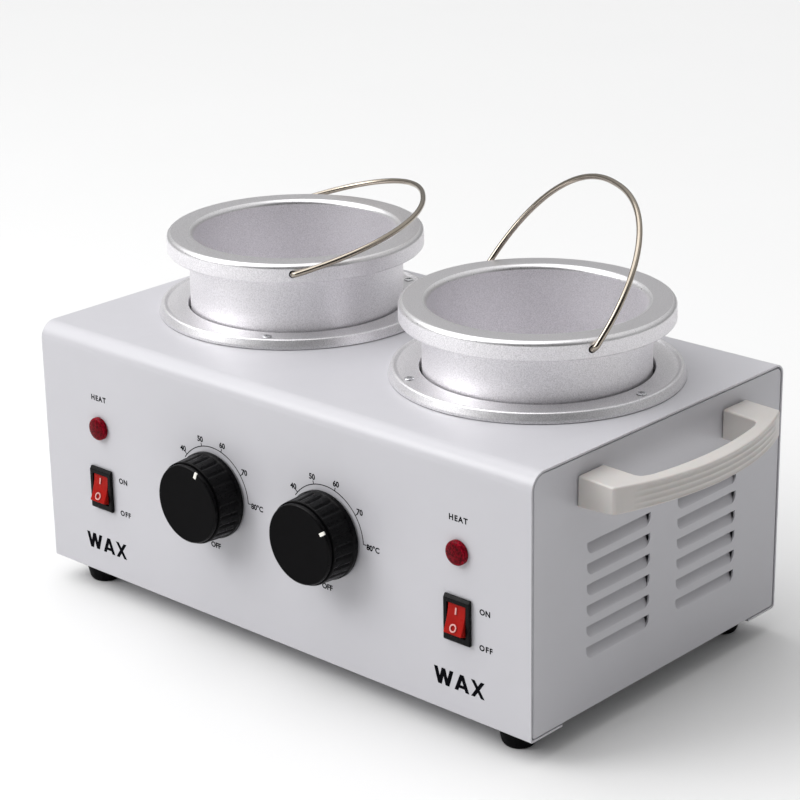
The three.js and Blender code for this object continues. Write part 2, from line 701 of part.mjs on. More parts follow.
function terminalBlock() {
  const z = SHEET + GAP + SHEET + GAP;
  const base = extrude(box2(-21, 21, 50, 68), z, z + 8);
  const towers = [-14, 0, 14].map((x) => extrude(box2(x - 5, x + 5, 52, 66), z + 7, z + 15));
  const wireWays = [-14, 0, 14]
    .map((x) => bore(2.2, x, 0, -30, 30, 8).rotateX(Math.PI / 2).translate(0, 59, z + 9));
  return cut(join(base, towers), wireWays);
}

function cordGland() {
  const inner = -SHEET - GAP;
  const profile = [
    [GLAND.bore, -8], [GLAND.hole + 0.2, -8], [GLAND.hole + 0.9, inner - 0.1], [GLAND.hole - 0.5, inner],
    [GLAND.hole - 0.5, GAP], [9.4, GAP], [9.4, 2.4], [7.8, 3.5], [GLAND.bore, 3.5],
  ];
  return ringLathe(profile, 20).rotateX(-Math.PI / 2).translate(GLAND.x, REAR, GLAND.z);
}

buildCabinet();
for (const side of SIDES) {
  buildWell(side);
  buildPot(side);
  buildControls(side);
}
place('terminal_block', 'nylon', terminalBlock());
place('cord_gland', 'rubber', cordGland());

// The frame's origin is on the floor, under the middle of the machine's length and depth.
const frontReach = -FRONT + KNOB.reach + 0.1;
const rearReach = REAR + 3.5;
machine.position.set(0, (frontReach - rearReach) / 2, FOOT.height);

export default machine;
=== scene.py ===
"""Looks of the double wax warmer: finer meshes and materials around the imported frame.

Metres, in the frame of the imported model: +X to the right seen from the front, +Y to the rear, +Z up.
"""

import json
import math

import bmesh
import bpy
from mathutils import Matrix, Vector


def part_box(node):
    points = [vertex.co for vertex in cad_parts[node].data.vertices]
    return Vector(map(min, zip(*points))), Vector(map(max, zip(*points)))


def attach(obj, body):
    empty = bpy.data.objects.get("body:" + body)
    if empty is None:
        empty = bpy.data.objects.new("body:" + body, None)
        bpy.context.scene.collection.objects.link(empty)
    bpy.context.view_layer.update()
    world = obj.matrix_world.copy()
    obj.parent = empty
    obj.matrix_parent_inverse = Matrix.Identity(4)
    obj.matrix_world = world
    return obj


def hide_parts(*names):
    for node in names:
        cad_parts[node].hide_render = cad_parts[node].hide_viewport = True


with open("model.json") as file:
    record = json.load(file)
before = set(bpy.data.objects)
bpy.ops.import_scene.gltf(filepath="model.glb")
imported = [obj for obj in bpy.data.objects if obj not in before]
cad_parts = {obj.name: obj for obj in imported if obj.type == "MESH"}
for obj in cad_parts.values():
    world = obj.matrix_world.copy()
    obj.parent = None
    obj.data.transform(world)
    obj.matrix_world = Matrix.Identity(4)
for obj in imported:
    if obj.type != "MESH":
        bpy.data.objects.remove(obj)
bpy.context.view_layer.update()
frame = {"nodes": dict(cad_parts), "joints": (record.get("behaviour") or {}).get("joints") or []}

MM = 0.001
SIDES = ("left", "right")
JOINTS = {joint["name"]: joint for joint in frame["joints"]}


# ------------------------------------------------------------------ places taken from the frame

def middle(node):
    low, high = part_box(node)
    return (low + high) / 2


WRAP_LOW, WRAP_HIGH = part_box("cabinet_wrap")
FRONT, REAR, TOP, BASE = WRAP_LOW.y, WRAP_HIGH.y, WRAP_HIGH.z, WRAP_LOW.z
MID_Y = (FRONT + REAR) / 2
HALF_LENGTH = WRAP_HIGH.x
PANEL_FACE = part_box("right_end_panel")[1].x

# ------------------------------------------------------------------ sizes of the finer shapes

SHEET = 1.0 * MM
BENDS = {"front_top": 8.5 * MM, "rear_top": 5.2 * MM, "rear_bottom": 2.2 * MM, "front_bottom": 1.2 * MM}
FLANGE = 22 * MM
WELL_HOLE = 58 * MM

LOUVRE = {"length": 46 * MM, "height": 6.2 * MM, "corner": 4.5 * MM, "depth": 3.2 * MM}
LOUVRE_TOP, LOUVRE_PITCH, LOUVRE_ROWS = 83.3 * MM, 10.15 * MM, 6
LOUVRE_COLUMNS = (-31.7 * MM, 34.7 * MM)
HANDLE_TOP_DRAFT, HANDLE_BOTTOM_DRAFT = 0.039, 0.06
HANDLE_FOOT, HANDLE_GRIP, HANDLE_SHOULDER = 44.4 * MM, 25.6 * MM, 20.2 * MM
HANDLE_FLUTES = (-4.2 * MM, -1.4 * MM, 1.4 * MM, 4.2 * MM)

POT_WALL, POT_BORE = 54.2 * MM, 51.3 * MM
POT_BAND, POT_FLOOR = 9.5 * MM, 3.5 * MM
BAIL_HALF_WIDTH, BAIL_HEIGHT, BAIL_SQUARENESS = 66.8 * MM, 67.7 * MM, 2.26
BAIL_WIRE, BAIL_BEND, BAIL_END, BAIL_HOLE = 1.4 * MM, 2.4 * MM, 61 * MM, 1.9 * MM
RING_BORE, RING_PLATE = 55.5 * MM, 4.4 * MM
LINER_BORE, LINER_WALL, LINER_FLANGE = 56 * MM, 1.2 * MM, 68 * MM
PLATE_GROOVES, GROOVE_PITCH = 12, 3.6 * MM

FLUTES = 24
KNOB_FACE, KNOB_BAND = 19.5 * MM, 3.6 * MM
SCALE_RADIUS, NUMBER_RADIUS = 23.8 * MM, 27.3 * MM
SCALE_MARKS = ((138.0, "40"), (106.9, "50"), (74.5, "60"), (36.8, "70"), (2.8, "80"))
ROCKER_TILT, ROCKER_TIP, ROCKER_DIP, ROCKER_HALF = 15, 3.4 * MM, 0.8 * MM, 7.0 * MM
SMALL_PRINT, SMALL_BOLD = 2.75 * MM, 0.12 * MM
SCALE_LINE = 0.42 * MM
PRINT = 0.06 * MM  # how far printed marks stand off the surface they lie on

# ------------------------------------------------------------------ materials

LINEAR = {
    "enamel": (0.53, 0.525, 0.555),
    "aluminium": (0.84, 0.825, 0.85),
    "bore": (0.84, 0.825, 0.85),
    # rim: the pot's flat rim top, a darker copy of the same aluminium as painted shade
    "rim": (0.57, 0.56, 0.575),
    "ring": (0.80, 0.79, 0.805),
    "wire": (0.38, 0.335, 0.28),
    "ivory": (0.56, 0.535, 0.515),
    "black": (0.0018, 0.0017, 0.0021),
    "gloss_black": (0.003, 0.0028, 0.0032),
    "red": (0.33, 0.011, 0.008),
    "lens": (0.11, 0.0008, 0.005),
    # painted glow: the lamp's rounded shoulder is coloured a brighter red than its face, standing in for
    # light glowing through it
    "painted_glow_rim": (0.19, 0.002, 0.010),
    "white": (0.86, 0.84, 0.78),
    "ink": (0.0015, 0.0015, 0.003),
    "zinc": (0.70, 0.71, 0.72),
    "rubber": (0.003, 0.003, 0.0034),
    "fibre": (0.72, 0.66, 0.52),
    "bakelite": (0.045, 0.028, 0.02),
    "nylon": (0.72, 0.70, 0.62),
}


class Shader:
    """A Principled material whose colour, roughness and relief vary by noise in object space."""

    def __init__(self, name, colour, roughness, **sockets):
        self.material = bpy.data.materials.new(name)
        self.material.use_nodes = True
        self.tree = self.material.node_tree
        self.shader = self.tree.nodes["Principled BSDF"]
        self.shader.inputs["Base Color"].default_value = (*colour, 1)
        self.shader.inputs["Roughness"].default_value = roughness
        for socket, value in sockets.items():
            self.shader.inputs[socket.replace("_", " ")].default_value = value
        self.colour, self.roughness = colour, roughness
        self.normal = None
        coordinates = self.tree.nodes.new("ShaderNodeTexCoord")
        self.place = coordinates.outputs["Object"]

    def link(self, source, target):
        self.tree.links.new(source, target)

    def noise(self, size, detail=2.0, stretch=(1, 1, 1), rough=0.5):
        """Noise whose blobs are about size metres across."""
        mapping = self.tree.nodes.new("ShaderNodeMapping")
        mapping.inputs["Scale"].default_value = [s / size for s in stretch]
        noise = self.tree.nodes.new("ShaderNodeTexNoise")
        noise.inputs["Scale"].default_value = 1.0
        noise.inputs["Detail"].default_value = detail
        noise.inputs["Roughness"].default_value = rough
        self.link(self.place, mapping.inputs["Vector"])
        self.link(mapping.outputs["Vector"], noise.inputs["Vector"])
        return noise.outputs["Fac"]

    def spread(self, source, low, high, start=0.3, end=0.7):
        ranged = self.tree.nodes.new("ShaderNodeMapRange")
        for socket, value in zip(("From Min", "From Max", "To Min", "To Max"), (start, end, low, high)):
            ranged.inputs[socket].default_value = value
        self.link(source, ranged.inputs["Value"])
        return ranged.outputs["Result"]

    def mottle(self, size, amount, detail=3.0, start=0.3, end=0.7, stretch=(1, 1, 1)):
        """The colour wanders by the given share, and the roughness against it."""
        source = self.noise(size, detail, stretch)
        mix = self.tree.nodes.new("ShaderNodeMix")
        mix.data_type = "RGBA"
        mix.inputs["A"].default_value = (*[c * (1 - amount) for c in self.colour], 1)
        mix.inputs["B"].default_value = (*[min(c * (1 + amount), 1) for c in self.colour], 1)
        self.link(self.spread(source, 0, 1, start, end), mix.inputs["Factor"])
        self.link(mix.outputs["Result"], self.shader.inputs["Base Color"])
        return self

    def vary_roughness(self, size, amount, detail=3.0):
        source = self.noise(size, detail)
        varied = self.spread(source, self.roughness - amount, self.roughness + amount)
        self.link(varied, self.shader.inputs["Roughness"])
        return self

    def relief(self, size, height, detail=2.0, stretch=(1, 1, 1), strength=1.0):
        """Adds a bump of the given height in metres."""
        source = self.noise(size, detail, stretch)
        bump = self.tree.nodes.new("ShaderNodeBump")
        bump.inputs["Strength"].default_value = strength
        bump.inputs["Distance"].default_value = height
        self.link(source, bump.inputs["Height"])
        if self.normal is not None:
            self.link(self.normal, bump.inputs["Normal"])
        self.normal = bump.outputs["Normal"]
        self.link(self.normal, self.shader.inputs["Normal"])
        return self


def make_materials():
    made = {}

    def add(name, slot, shader):
        made[name] = (shader.material, slot)

    enamel = Shader("enamel", LINEAR["enamel"], 0.42, Coat_Weight=0.2, Coat_Roughness=0.2)
    enamel.mottle(60 * MM, 0.012).vary_roughness(9 * MM, 0.025)
    add("enamel", "enamel", enamel.relief(1.6 * MM, 0.012 * MM).relief(0.35 * MM, 0.002 * MM))

    blasted = Shader("blasted_aluminium", LINEAR["aluminium"], 0.48, Metallic=0.82)
    blasted.mottle(0.5 * MM, 0.13, detail=2, start=0.35, end=0.65).vary_roughness(0.9 * MM, 0.08)
    add("aluminium", "spun_aluminium", blasted.relief(0.8 * MM, 0.03 * MM, detail=2))

    # The rim copy is darker than the pot's own aluminium: painted shade on the flat rim top.
    for look, roughness in (("bore", 0.5), ("rim", 0.42)):
        skin = Shader(f"{look}_aluminium", LINEAR[look], roughness, Metallic=0.82)
        skin.mottle(0.5 * MM, 0.11, detail=2, start=0.35, end=0.65).vary_roughness(0.9 * MM, 0.07)
        add(look, "spun_aluminium", skin.relief(0.8 * MM, 0.02 * MM, detail=2))

    edge = Shader("burnished_aluminium", LINEAR["ring"], 0.32, Metallic=0.85)
    edge.mottle(0.5 * MM, 0.08, detail=2, start=0.35, end=0.65).vary_roughness(1.1 * MM, 0.05)
    add("edge", "spun_aluminium", edge.relief(0.8 * MM, 0.008 * MM, detail=2))

    ring = Shader("cast_aluminium", LINEAR["ring"], 0.42, Metallic=0.82)
    ring.mottle(0.5 * MM, 0.13, detail=2, start=0.35, end=0.65).vary_roughness(0.9 * MM, 0.07)
    add("ring", "cast_aluminium", ring.relief(0.8 * MM, 0.03 * MM, detail=2))

    wire = Shader("nickel_wire", LINEAR["wire"], 0.16, Metallic=1.0)
    wire.mottle(7 * MM, 0.06).vary_roughness(2.5 * MM, 0.05)
    add("wire", "nickel_wire", wire.relief(0.5 * MM, 0.006 * MM))

    ivory = Shader("ivory_plastic", LINEAR["ivory"], 0.4, Subsurface_Weight=0.12, Subsurface_Scale=0.003)
    ivory.mottle(14 * MM, 0.02).vary_roughness(4 * MM, 0.04)
    add("ivory", "ivory_plastic", ivory.relief(0.5 * MM, 0.01 * MM, detail=4))

    black = Shader("black_plastic", LINEAR["black"], 0.42, Specular_IOR_Level=0.035)
    black.mottle(3 * MM, 0.15).vary_roughness(1.2 * MM, 0.06)
    add("black", "black_plastic", black.relief(0.35 * MM, 0.012 * MM, detail=4))

    skirt = Shader("black_skirt", LINEAR["black"], 0.3, Specular_IOR_Level=0.1)
    skirt.mottle(3 * MM, 0.15).vary_roughness(1.2 * MM, 0.05)
    add("skirt", "black_plastic", skirt.relief(0.35 * MM, 0.008 * MM, detail=4))

    gloss = Shader("gloss_black", LINEAR["gloss_black"], 0.3, Specular_IOR_Level=0.09)
    gloss.mottle(2 * MM, 0.1).vary_roughness(1.5 * MM, 0.05)
    add("gloss_black", "black_gloss", gloss.relief(0.8 * MM, 0.006 * MM))

    red = Shader("red_plastic", LINEAR["red"], 0.3, Specular_IOR_Level=0.06, Subsurface_Weight=0.1,
                 Subsurface_Scale=0.002)
    red.mottle(5 * MM, 0.08).vary_roughness(1.6 * MM, 0.04)
    add("red", "red_gloss", red.relief(0.7 * MM, 0.006 * MM))

    # The shoulder's brighter red is painted glow, not a different plastic.
    for look, colour in (("lens", LINEAR["lens"]), ("painted_glow_rim", LINEAR["painted_glow_rim"])):
        lens = Shader(f"red_{look}", colour, 0.14, Specular_IOR_Level=0.06)
        lens.mottle(0.9 * MM, 0.5, start=0.4, end=0.6).vary_roughness(0.9 * MM, 0.04)
        add(look, "red_lens", lens.relief(0.8 * MM, 0.03 * MM))

    white = Shader("white_inlay", LINEAR["white"], 0.45)
    white.mottle(0.8 * MM, 0.03)
    add("white", "white_plastic", white.relief(0.3 * MM, 0.006 * MM))

    mark = Shader("moulded_mark", (0.66, 0.34, 0.32), 0.35)
    mark.mottle(0.6 * MM, 0.05)
    add("mark", "white_plastic", mark.relief(0.3 * MM, 0.005 * MM))

    ink = Shader("screen_print", LINEAR["ink"], 0.7, Specular_IOR_Level=0.03)
    ink.mottle(0.25 * MM, 0.35, detail=4)
    add("ink", "black_plastic", ink.relief(0.15 * MM, 0.004 * MM))

    zinc = Shader("zinc_steel", LINEAR["zinc"], 0.26, Metallic=0.95)
    zinc.mottle(6 * MM, 0.10).vary_roughness(3 * MM, 0.08)
    add("zinc", "zinc_steel", zinc.relief(1.4 * MM, 0.01 * MM, stretch=(1, 6, 1)))

    rubber = Shader("black_rubber", LINEAR["rubber"], 0.55, Specular_IOR_Level=0.05)
    rubber.mottle(2 * MM, 0.25).vary_roughness(1.5 * MM, 0.08)
    add("rubber", "black_rubber", rubber.relief(0.5 * MM, 0.03 * MM, detail=4))

    fibre = Shader("ceramic_fibre", LINEAR["fibre"], 0.9)
    fibre.mottle(1.5 * MM, 0.14, stretch=(1, 1, 4))
    add("fibre", "ceramic_fibre", fibre.relief(0.7 * MM, 0.25 * MM, detail=5))

    bakelite = Shader("bakelite", LINEAR["bakelite"], 0.42)
    bakelite.mottle(4 * MM, 0.2)
    add("bakelite", "bakelite", bakelite.relief(0.6 * MM, 0.02 * MM))

    nylon = Shader("nylon", LINEAR["nylon"], 0.5, Subsurface_Weight=0.1, Subsurface_Scale=0.002)
    nylon.mottle(6 * MM, 0.03)
    add("nylon", "nylon", nylon.relief(0.5 * MM, 0.01 * MM))
    return made


MATERIALS = make_materials()

# ------------------------------------------------------------------ mesh tools


def mesh_object(name, vertices, faces):
    mesh = bpy.data.meshes.new(name)
    mesh.from_pydata([tuple(v) for v in vertices], [], faces)
    work = bmesh.new()
    work.from_mesh(mesh)
    bmesh.ops.remove_doubles(work, verts=work.verts, dist=1e-7)
    bmesh.ops.recalc_face_normals(work, faces=work.faces)
    work.to_mesh(mesh)
    work.free()
    piece = bpy.data.objects.new(name, mesh)
    bpy.context.scene.collection.objects.link(piece)
    return piece


def lathe(name, profile, segments=96, closed=False):
    """Turns (radius, height) points round the Z axis; a closed profile is a ring clear of the axis."""
    return grid_lathe(name, profile, segments, lambda radius, height, angle: radius, closed)


def grid_lathe(name, profile, segments, radius_at, closed=False):
    vertices, rows = [], []
    for radius, height in profile:
        if radius < 1e-9:
            rows.append([len(vertices)] * segments)
            vertices.append((0, 0, height))
            continue
        rows.append(list(range(len(vertices), len(vertices) + segments)))
        for k in range(segments):
            angle = 2 * math.pi * k / segments
            reach = radius_at(radius, height, angle)
            vertices.append((reach * math.cos(angle), reach * math.sin(angle), height))
    faces = []
    for below, above in zip(rows, rows[1:] + ([rows[0]] if closed else [])):
        for k in range(segments):
            corners = (below[k], below[(k + 1) % segments], above[(k + 1) % segments], above[k])
            face = list(dict.fromkeys(corners))
            if len(face) > 2:
                faces.append(face)
    return mesh_object(name, vertices, faces)


def prism(name, outline, low, high):
    """A closed outline in XY swept from low to high along Z."""
    count = len(outline)
    vertices = [(x, y, low) for x, y in outline] + [(x, y, high) for x, y in outline]
    sides = [(k, (k + 1) % count, (k + 1) % count + count, k + count) for k in range(count)]
    return mesh_object(name, vertices, [list(range(count)), list(range(count, 2 * count)), *sides])


def arc(centre, radius, start, end, steps):
    """Points on an arc, angles in degrees."""
    angles = [math.radians(start + (end - start) * k / steps) for k in range(steps + 1)]
    return [(centre[0] + radius * math.cos(a), centre[1] + radius * math.sin(a)) for a in angles]


def rounded(corners, steps=8, closed=True):
    """A path through (x, y, radius) corners, each rounded to its radius."""
    path = []
    count = len(corners)
    for i, (x, y, radius) in enumerate(corners):
        corner = Vector((x, y))
        if radius <= 0 or (not closed and i in (0, count - 1)):
            path.append((x, y))
            continue
        before = (Vector(corners[i - 1][:2]) - corner).normalized()
        after = (Vector(corners[(i + 1) % count][:2]) - corner).normalized()
        half = before.angle(after) / 2
        centre = corner + (before + after).normalized() * (radius / math.sin(half))
        first = corner + before * (radius / math.tan(half)) - centre
        last = corner + after * (radius / math.tan(half)) - centre
        turn = math.atan2(first.x * last.y - first.y * last.x, first.dot(last))
        for k in range(steps + 1):
            swing = Matrix.Rotation(turn * k / steps, 2) @ first
            path.append(tuple(centre + swing))
    return path


def box_outline(x0, x1, y0, y1, radius=0.0, steps=6):
    return rounded([(x0, y0, radius), (x1, y0, radius), (x1, y1, radius), (x0, y1, radius)], steps)


def three_point_arc(first, via, last, steps):
    """Points on the circle through three points, ends included."""
    a, b, c = (complex(*p) for p in (first, via, last))
    w = (c - a) / (b - a)
    centre = a + (b - a) * (w - abs(w) ** 2) / (2j * w.imag)
    start, end = a - centre, c - centre
    turn = math.atan2((start.conjugate() * end).imag, (start.conjugate() * end).real)
    points = [centre + start * complex(math.cos(turn * k / steps), math.sin(turn * k / steps))
              for k in range(steps + 1)]
    return [(p.real, p.imag) for p in points]


ALONG_X = Matrix(((0, 0, 1, 0), (1, 0, 0, 0), (0, 1, 0, 0), (0, 0, 0, 1)))  # (y, z) outline swept along X


def facing_front(x, z):
    """Stands a shape drawn in XY, as seen from the front, out of the control panel at (x, z)."""
    return Matrix.Translation((x, FRONT, z)) @ Matrix.Rotation(math.radians(90), 4, "X")


def move(piece, matrix):
    piece.data.transform(matrix)
    if matrix.determinant() < 0:
        piece.data.flip_normals()
    return piece


def bake(piece):
    """Makes the piece's modifiers part of its mesh."""
    graph = bpy.context.evaluated_depsgraph_get()
    mesh = bpy.data.meshes.new_from_object(piece.evaluated_get(graph))
    piece.modifiers.clear()
    piece.data = mesh
    return piece


def boolean(piece, tools, operation="DIFFERENCE"):
    for tool in tools:
        modifier = piece.modifiers.new("boolean", "BOOLEAN")
        modifier.object = tool
        modifier.operation = operation
        modifier.solver = "EXACT"
    bake(piece)
    for tool in tools:
        bpy.data.objects.remove(tool)
    return piece


def soften(piece, width, segments=2, angle=35):
    """Rounds the sharp edges."""
    modifier = piece.modifiers.new("soften", "BEVEL")
    modifier.width = width
    modifier.segments = segments
    modifier.limit_method = "ANGLE"
    modifier.angle_limit = math.radians(angle)
    modifier.miter_outer = "MITER_ARC"
    return bake(piece)


def shade(piece, sharp=32):
    for polygon in piece.data.polygons:
        polygon.use_smooth = True
    piece.data.set_sharp_from_angle(angle=math.radians(sharp))
    modifier = piece.modifiers.new("normals", "WEIGHTED_NORMAL")
    modifier.keep_sharp = True
    return bake(piece)


def dress(piece, body, look, *nodes, sharp=32):
    """Shades a finished piece, gives it its material and body, and hides the nodes it stands for."""
    material, slot = MATERIALS[look]
    if not piece.data.materials:
        piece.data.materials.append(material)
    shade(piece, sharp)
    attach(piece, body)
    if nodes:
        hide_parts(*nodes)
    return piece


def copy_of(piece, name, matrix):
    twin = bpy.data.objects.new(name, piece.data.copy())
    bpy.context.scene.collection.objects.link(twin)
    return move(twin, matrix)


def cylinder(x, y, radius, low, high, segments=48):
    circle = [(x + px, y + py) for px, py in arc((0, 0), radius, 0, 360, segments)[:-1]]
    return prism("tool", circle, low, high)


MIRROR = Matrix.Scale(-1, 4, (1, 0, 0))

# ------------------------------------------------------------------ cabinet


def cabinet_wrap():
    def fold(inset):
        front, rear, top, base = FRONT + inset, REAR - inset, TOP - inset, BASE + inset
        return rounded([
            (FRONT + FLANGE, base, 0),
            (front, base, max(BENDS["front_bottom"] - inset, 0.15 * MM)),
            (front, top, BENDS["front_top"] - inset),
            (rear, top, BENDS["rear_top"] - inset),
            (rear, base, BENDS["rear_bottom"] - inset),
            (REAR - FLANGE, base, 0),
        ], 12, closed=False)

    outline = fold(0) + fold(SHEET)[::-1]
    wrap = move(prism("cabinet_shell", outline, -HALF_LENGTH, HALF_LENGTH), ALONG_X)
    soften(wrap, 0.22 * MM, 2, 60)
    tools = []
    for side in SIDES:
        pot = middle(f"{side}_pot")
        tools.append(cylinder(pot.x, pot.y, WELL_HOLE, TOP - 3 * MM, TOP + 3 * MM, 96))
        shaft = middle(f"{side}_thermostat_shaft")
        tools.append(move(cylinder(0, 0, 4.2 * MM, -3 * MM, 3 * MM, 32), facing_front(shaft.x, shaft.z)))
        lamp = middle(f"{side}_lamp_lens")
        tools.append(move(cylinder(0, 0, 5.2 * MM, -3 * MM, 3 * MM, 32), facing_front(lamp.x, lamp.z)))
        switch = middle(f"{side}_switch_housing")
        cutout = box_outline(-6.8 * MM, 6.8 * MM, -9.8 * MM, 9.8 * MM)
        tools.append(move(prism("tool", cutout, -3 * MM, 3 * MM), facing_front(switch.x, switch.z)))
    gland = middle("cord_gland")
    hole = cylinder(0, 0, 7 * MM, -3 * MM, 3 * MM, 48)
    facing_rear = Matrix.Rotation(math.pi / 2, 4, "X")
    tools.append(move(hole, Matrix.Translation((gland.x, REAR, gland.z)) @ facing_rear))
    boolean(wrap, tools)
    return dress(wrap, "cabinet", "enamel", "cabinet_wrap")


def louvre(y, top):
    """The opening's prism and the tongue pressed in behind it, leaning inward towards the top."""
    half, low = LOUVRE["length"] / 2, top - LOUVRE["height"]
    outline = rounded([(y - half, low, LOUVRE["corner"]), (y + half, low, LOUVRE["corner"]),
                       (y + half, top, 0), (y - half, top, 0)], 10)
    opening = move(prism("tool", outline, PANEL_FACE - 8 * MM, PANEL_FACE + 2 * MM), ALONG_X)
    blank = copy_of(opening, "tongue", Matrix.Identity(4))
    face, depth, height = PANEL_FACE, LOUVRE["depth"], LOUVRE["height"]
    steps = 8
    outer = [(face - depth * math.sin(t / steps * math.pi / 2) ** 1.3, low + height * t / steps)
             for t in range(steps + 1)]
    slab = [(face - SHEET, low - MM), (face, low - MM), *outer, (outer[-1][0], top + MM),
            (outer[-1][0] - SHEET, top + MM), *[(x - SHEET, z) for x, z in outer[::-1]]]
    turned = Matrix(((1, 0, 0, 0), (0, 0, 1, 0), (0, 1, 0, 0), (0, 0, 0, 1)))
    tongue_tool = move(prism("tool", slab, y - half - MM, y + half + MM), turned)
    boolean(blank, [tongue_tool], "INTERSECT")
    return opening, blank


def end_panels():
    low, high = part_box("right_end_panel")

    def outline(inset):
        front, rear = low.y + inset, high.y - inset
        return rounded([
            (front, low.z + inset, 1.2 * MM), (rear, low.z + inset, 1.2 * MM),
            (rear, high.z - inset, 3.9 * MM - inset / 2), (front, high.z - inset, 6.6 * MM - inset),
        ], 12)

    panel = move(prism("end_panel", outline(0), low.x, high.x), ALONG_X)
    soften(panel, 0.5 * MM, 3, 60)
    hollow = move(prism("tool", outline(SHEET), low.x - MM, high.x - SHEET), ALONG_X)
    boolean(panel, [hollow])
    openings, tongues = [], []
    for column in LOUVRE_COLUMNS:
        for row in range(LOUVRE_ROWS):
            opening, tongue = louvre(MID_Y + column, BASE + LOUVRE_TOP - row * LOUVRE_PITCH)
            openings.append(opening)
            tongues.append(tongue)
    boolean(panel, openings)
    boolean(panel, tongues, "UNION")
    copy_of(panel, "left_side_panel", MIRROR)
    panel.name = "right_side_panel"
    dress(panel, "cabinet", "enamel", "right_end_panel", sharp=28)
    dress(bpy.data.objects["left_side_panel"], "cabinet", "enamel", "left_end_panel", sharp=28)


def handles():
    """Bow handles: drafted block feet, arched grip, three fine ribs along the outer face."""
    for side in SIDES:
        low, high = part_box(f"{side}_handle")
        inner, tip = low.x - PANEL_FACE, high.x - PANEL_FACE
        if side == "left":
            inner, tip = -PANEL_FACE - high.x, -PANEL_FACE - low.x
        end = (high.y - low.y) / 2
        foot, grip, shoulder = HANDLE_FOOT, HANDLE_GRIP, HANDLE_SHOULDER
        outer_arc = three_point_arc((shoulder, -end + 0.6 * MM), (tip, 0), (shoulder, end - 0.6 * MM), 40)
        knee = [(0, foot, 0), (19.6 * MM, foot - 0.4 * MM, 3.4 * MM), (21.6 * MM, foot - 6 * MM, 0)]
        knee_back = [(x, -y, r) for x, y, r in reversed(knee)]
        outline = [
            (inner, -end), (shoulder - 1.2 * MM, -end), *outer_arc, (shoulder - 1.2 * MM, end), (inner, end),
            (inner, foot), *rounded(knee, 8, closed=False)[1:-1],
            *three_point_arc((21.7 * MM, foot - 5.4 * MM), (grip, 0), (21.7 * MM, -foot + 5.4 * MM), 32),
            *rounded(knee_back, 8, closed=False)[1:-1], (inner, -foot),
        ]
        handle = prism(f"{side}_grip", outline, low.z, high.z)
        for vertex in handle.data.vertices:
            draft = HANDLE_TOP_DRAFT if vertex.co.z > (low.z + high.z) / 2 else -HANDLE_BOTTOM_DRAFT
            vertex.co.z -= draft * (vertex.co.x - inner)
        soften(handle, 1.0 * MM, 4, 30)
        face_middle = (high.z + low.z + (HANDLE_BOTTOM_DRAFT - HANDLE_TOP_DRAFT) * tip) / 2
        path = [Vector(p) for p in outer_arc[3:-3]]
        boolean(handle, [groove(path, face_middle + offset) for offset in HANDLE_FLUTES])
        move(handle, Matrix.Translation((PANEL_FACE, MID_Y, 0)))
        if side == "left":
            move(handle, MIRROR)
        dress(handle, "cabinet", "ivory", f"{side}_handle", sharp=40)


def groove(path, z):
    """A shallow hollow flute along a path in XY at height z, tapering out at both ends."""
    section = [(-0.42, 0), (-0.32, 0.75), (0.05, 1.32), (0.6, 1.36),
               (0.6, -1.36), (0.05, -1.32), (-0.32, -0.75)]
    size = len(section)
    vertices, faces = [], []
    count = len(path)
    for i, p in enumerate(path):
        along = (path[min(i + 1, count - 1)] - path[max(i - 1, 0)]).normalized()
        out = Vector((along.y, -along.x))
        fade = min(1, min(i, count - 1 - i) / 2 + 0.1)
        for reach, rise in section:
            q = p + out * ((reach if reach > 0.1 else reach * fade) * MM)
            vertices.append((q.x, q.y, z + rise * MM))
    for i in range(count - 1):
        for k in range(size):
            a, b = size * i + k, size * i + (k + 1) % size
            faces.append((a, b, b + size, a + size))
    faces.append(tuple(range(size)))
    faces.append(tuple(size * (count - 1) + k for k in range(size)))
    return mesh_object("tool", vertices, faces)


def feet():
    for name in ("front_left", "front_right", "rear_left", "rear_right"):
        low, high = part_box(f"{name}_foot")
        radius = (high.x - low.x) / 2
        top, height = high.z, high.z - low.z
        profile = rounded([
            (2.2 * MM, 0, 0), (radius, 0, 0.4 * MM), (radius - 0.5 * MM, -0.45 * height, 4 * MM),
            (radius - 1.5 * MM, -0.85 * height, 2.5 * MM), (7.0 * MM, -height, 1.2 * MM),
            (4.2 * MM, -height, 0.3 * MM), (4.0 * MM, -6 * MM, 0), (2.2 * MM, -6 * MM, 0),
        ], 6)
        foot = lathe(f"{name}_rubber_foot", profile, 64, closed=True)
        centre = middle(f"{name}_foot")
        dress(move(foot, Matrix.Translation((centre.x, centre.y, top))), "cabinet", "rubber", f"{name}_foot")


# ------------------------------------------------------------------ screws


def cross_head(name, head, rise, depth):
    """A pan head standing on z = 0 with a cross recess, on a short shank."""
    dome = [(head * math.cos(a), rise * (0.3 + 0.7 * math.sin(a))) for a in
            [math.radians(90 * k / 8) for k in range(9)]]
    profile = [(0, -depth), (1.4 * MM, -depth), (1.4 * MM, 0), (head, 0), *dome[:-1], (0, rise)]
    screw = lathe(name, profile, 40)
    arm, half = head * 0.6, head * 0.15
    arms = [box_outline(-arm, arm, -half, half), box_outline(-half, half, -arm, arm)]
    return boolean(screw, [prism("tool", outline, rise - 0.9 * MM, rise + MM) for outline in arms])


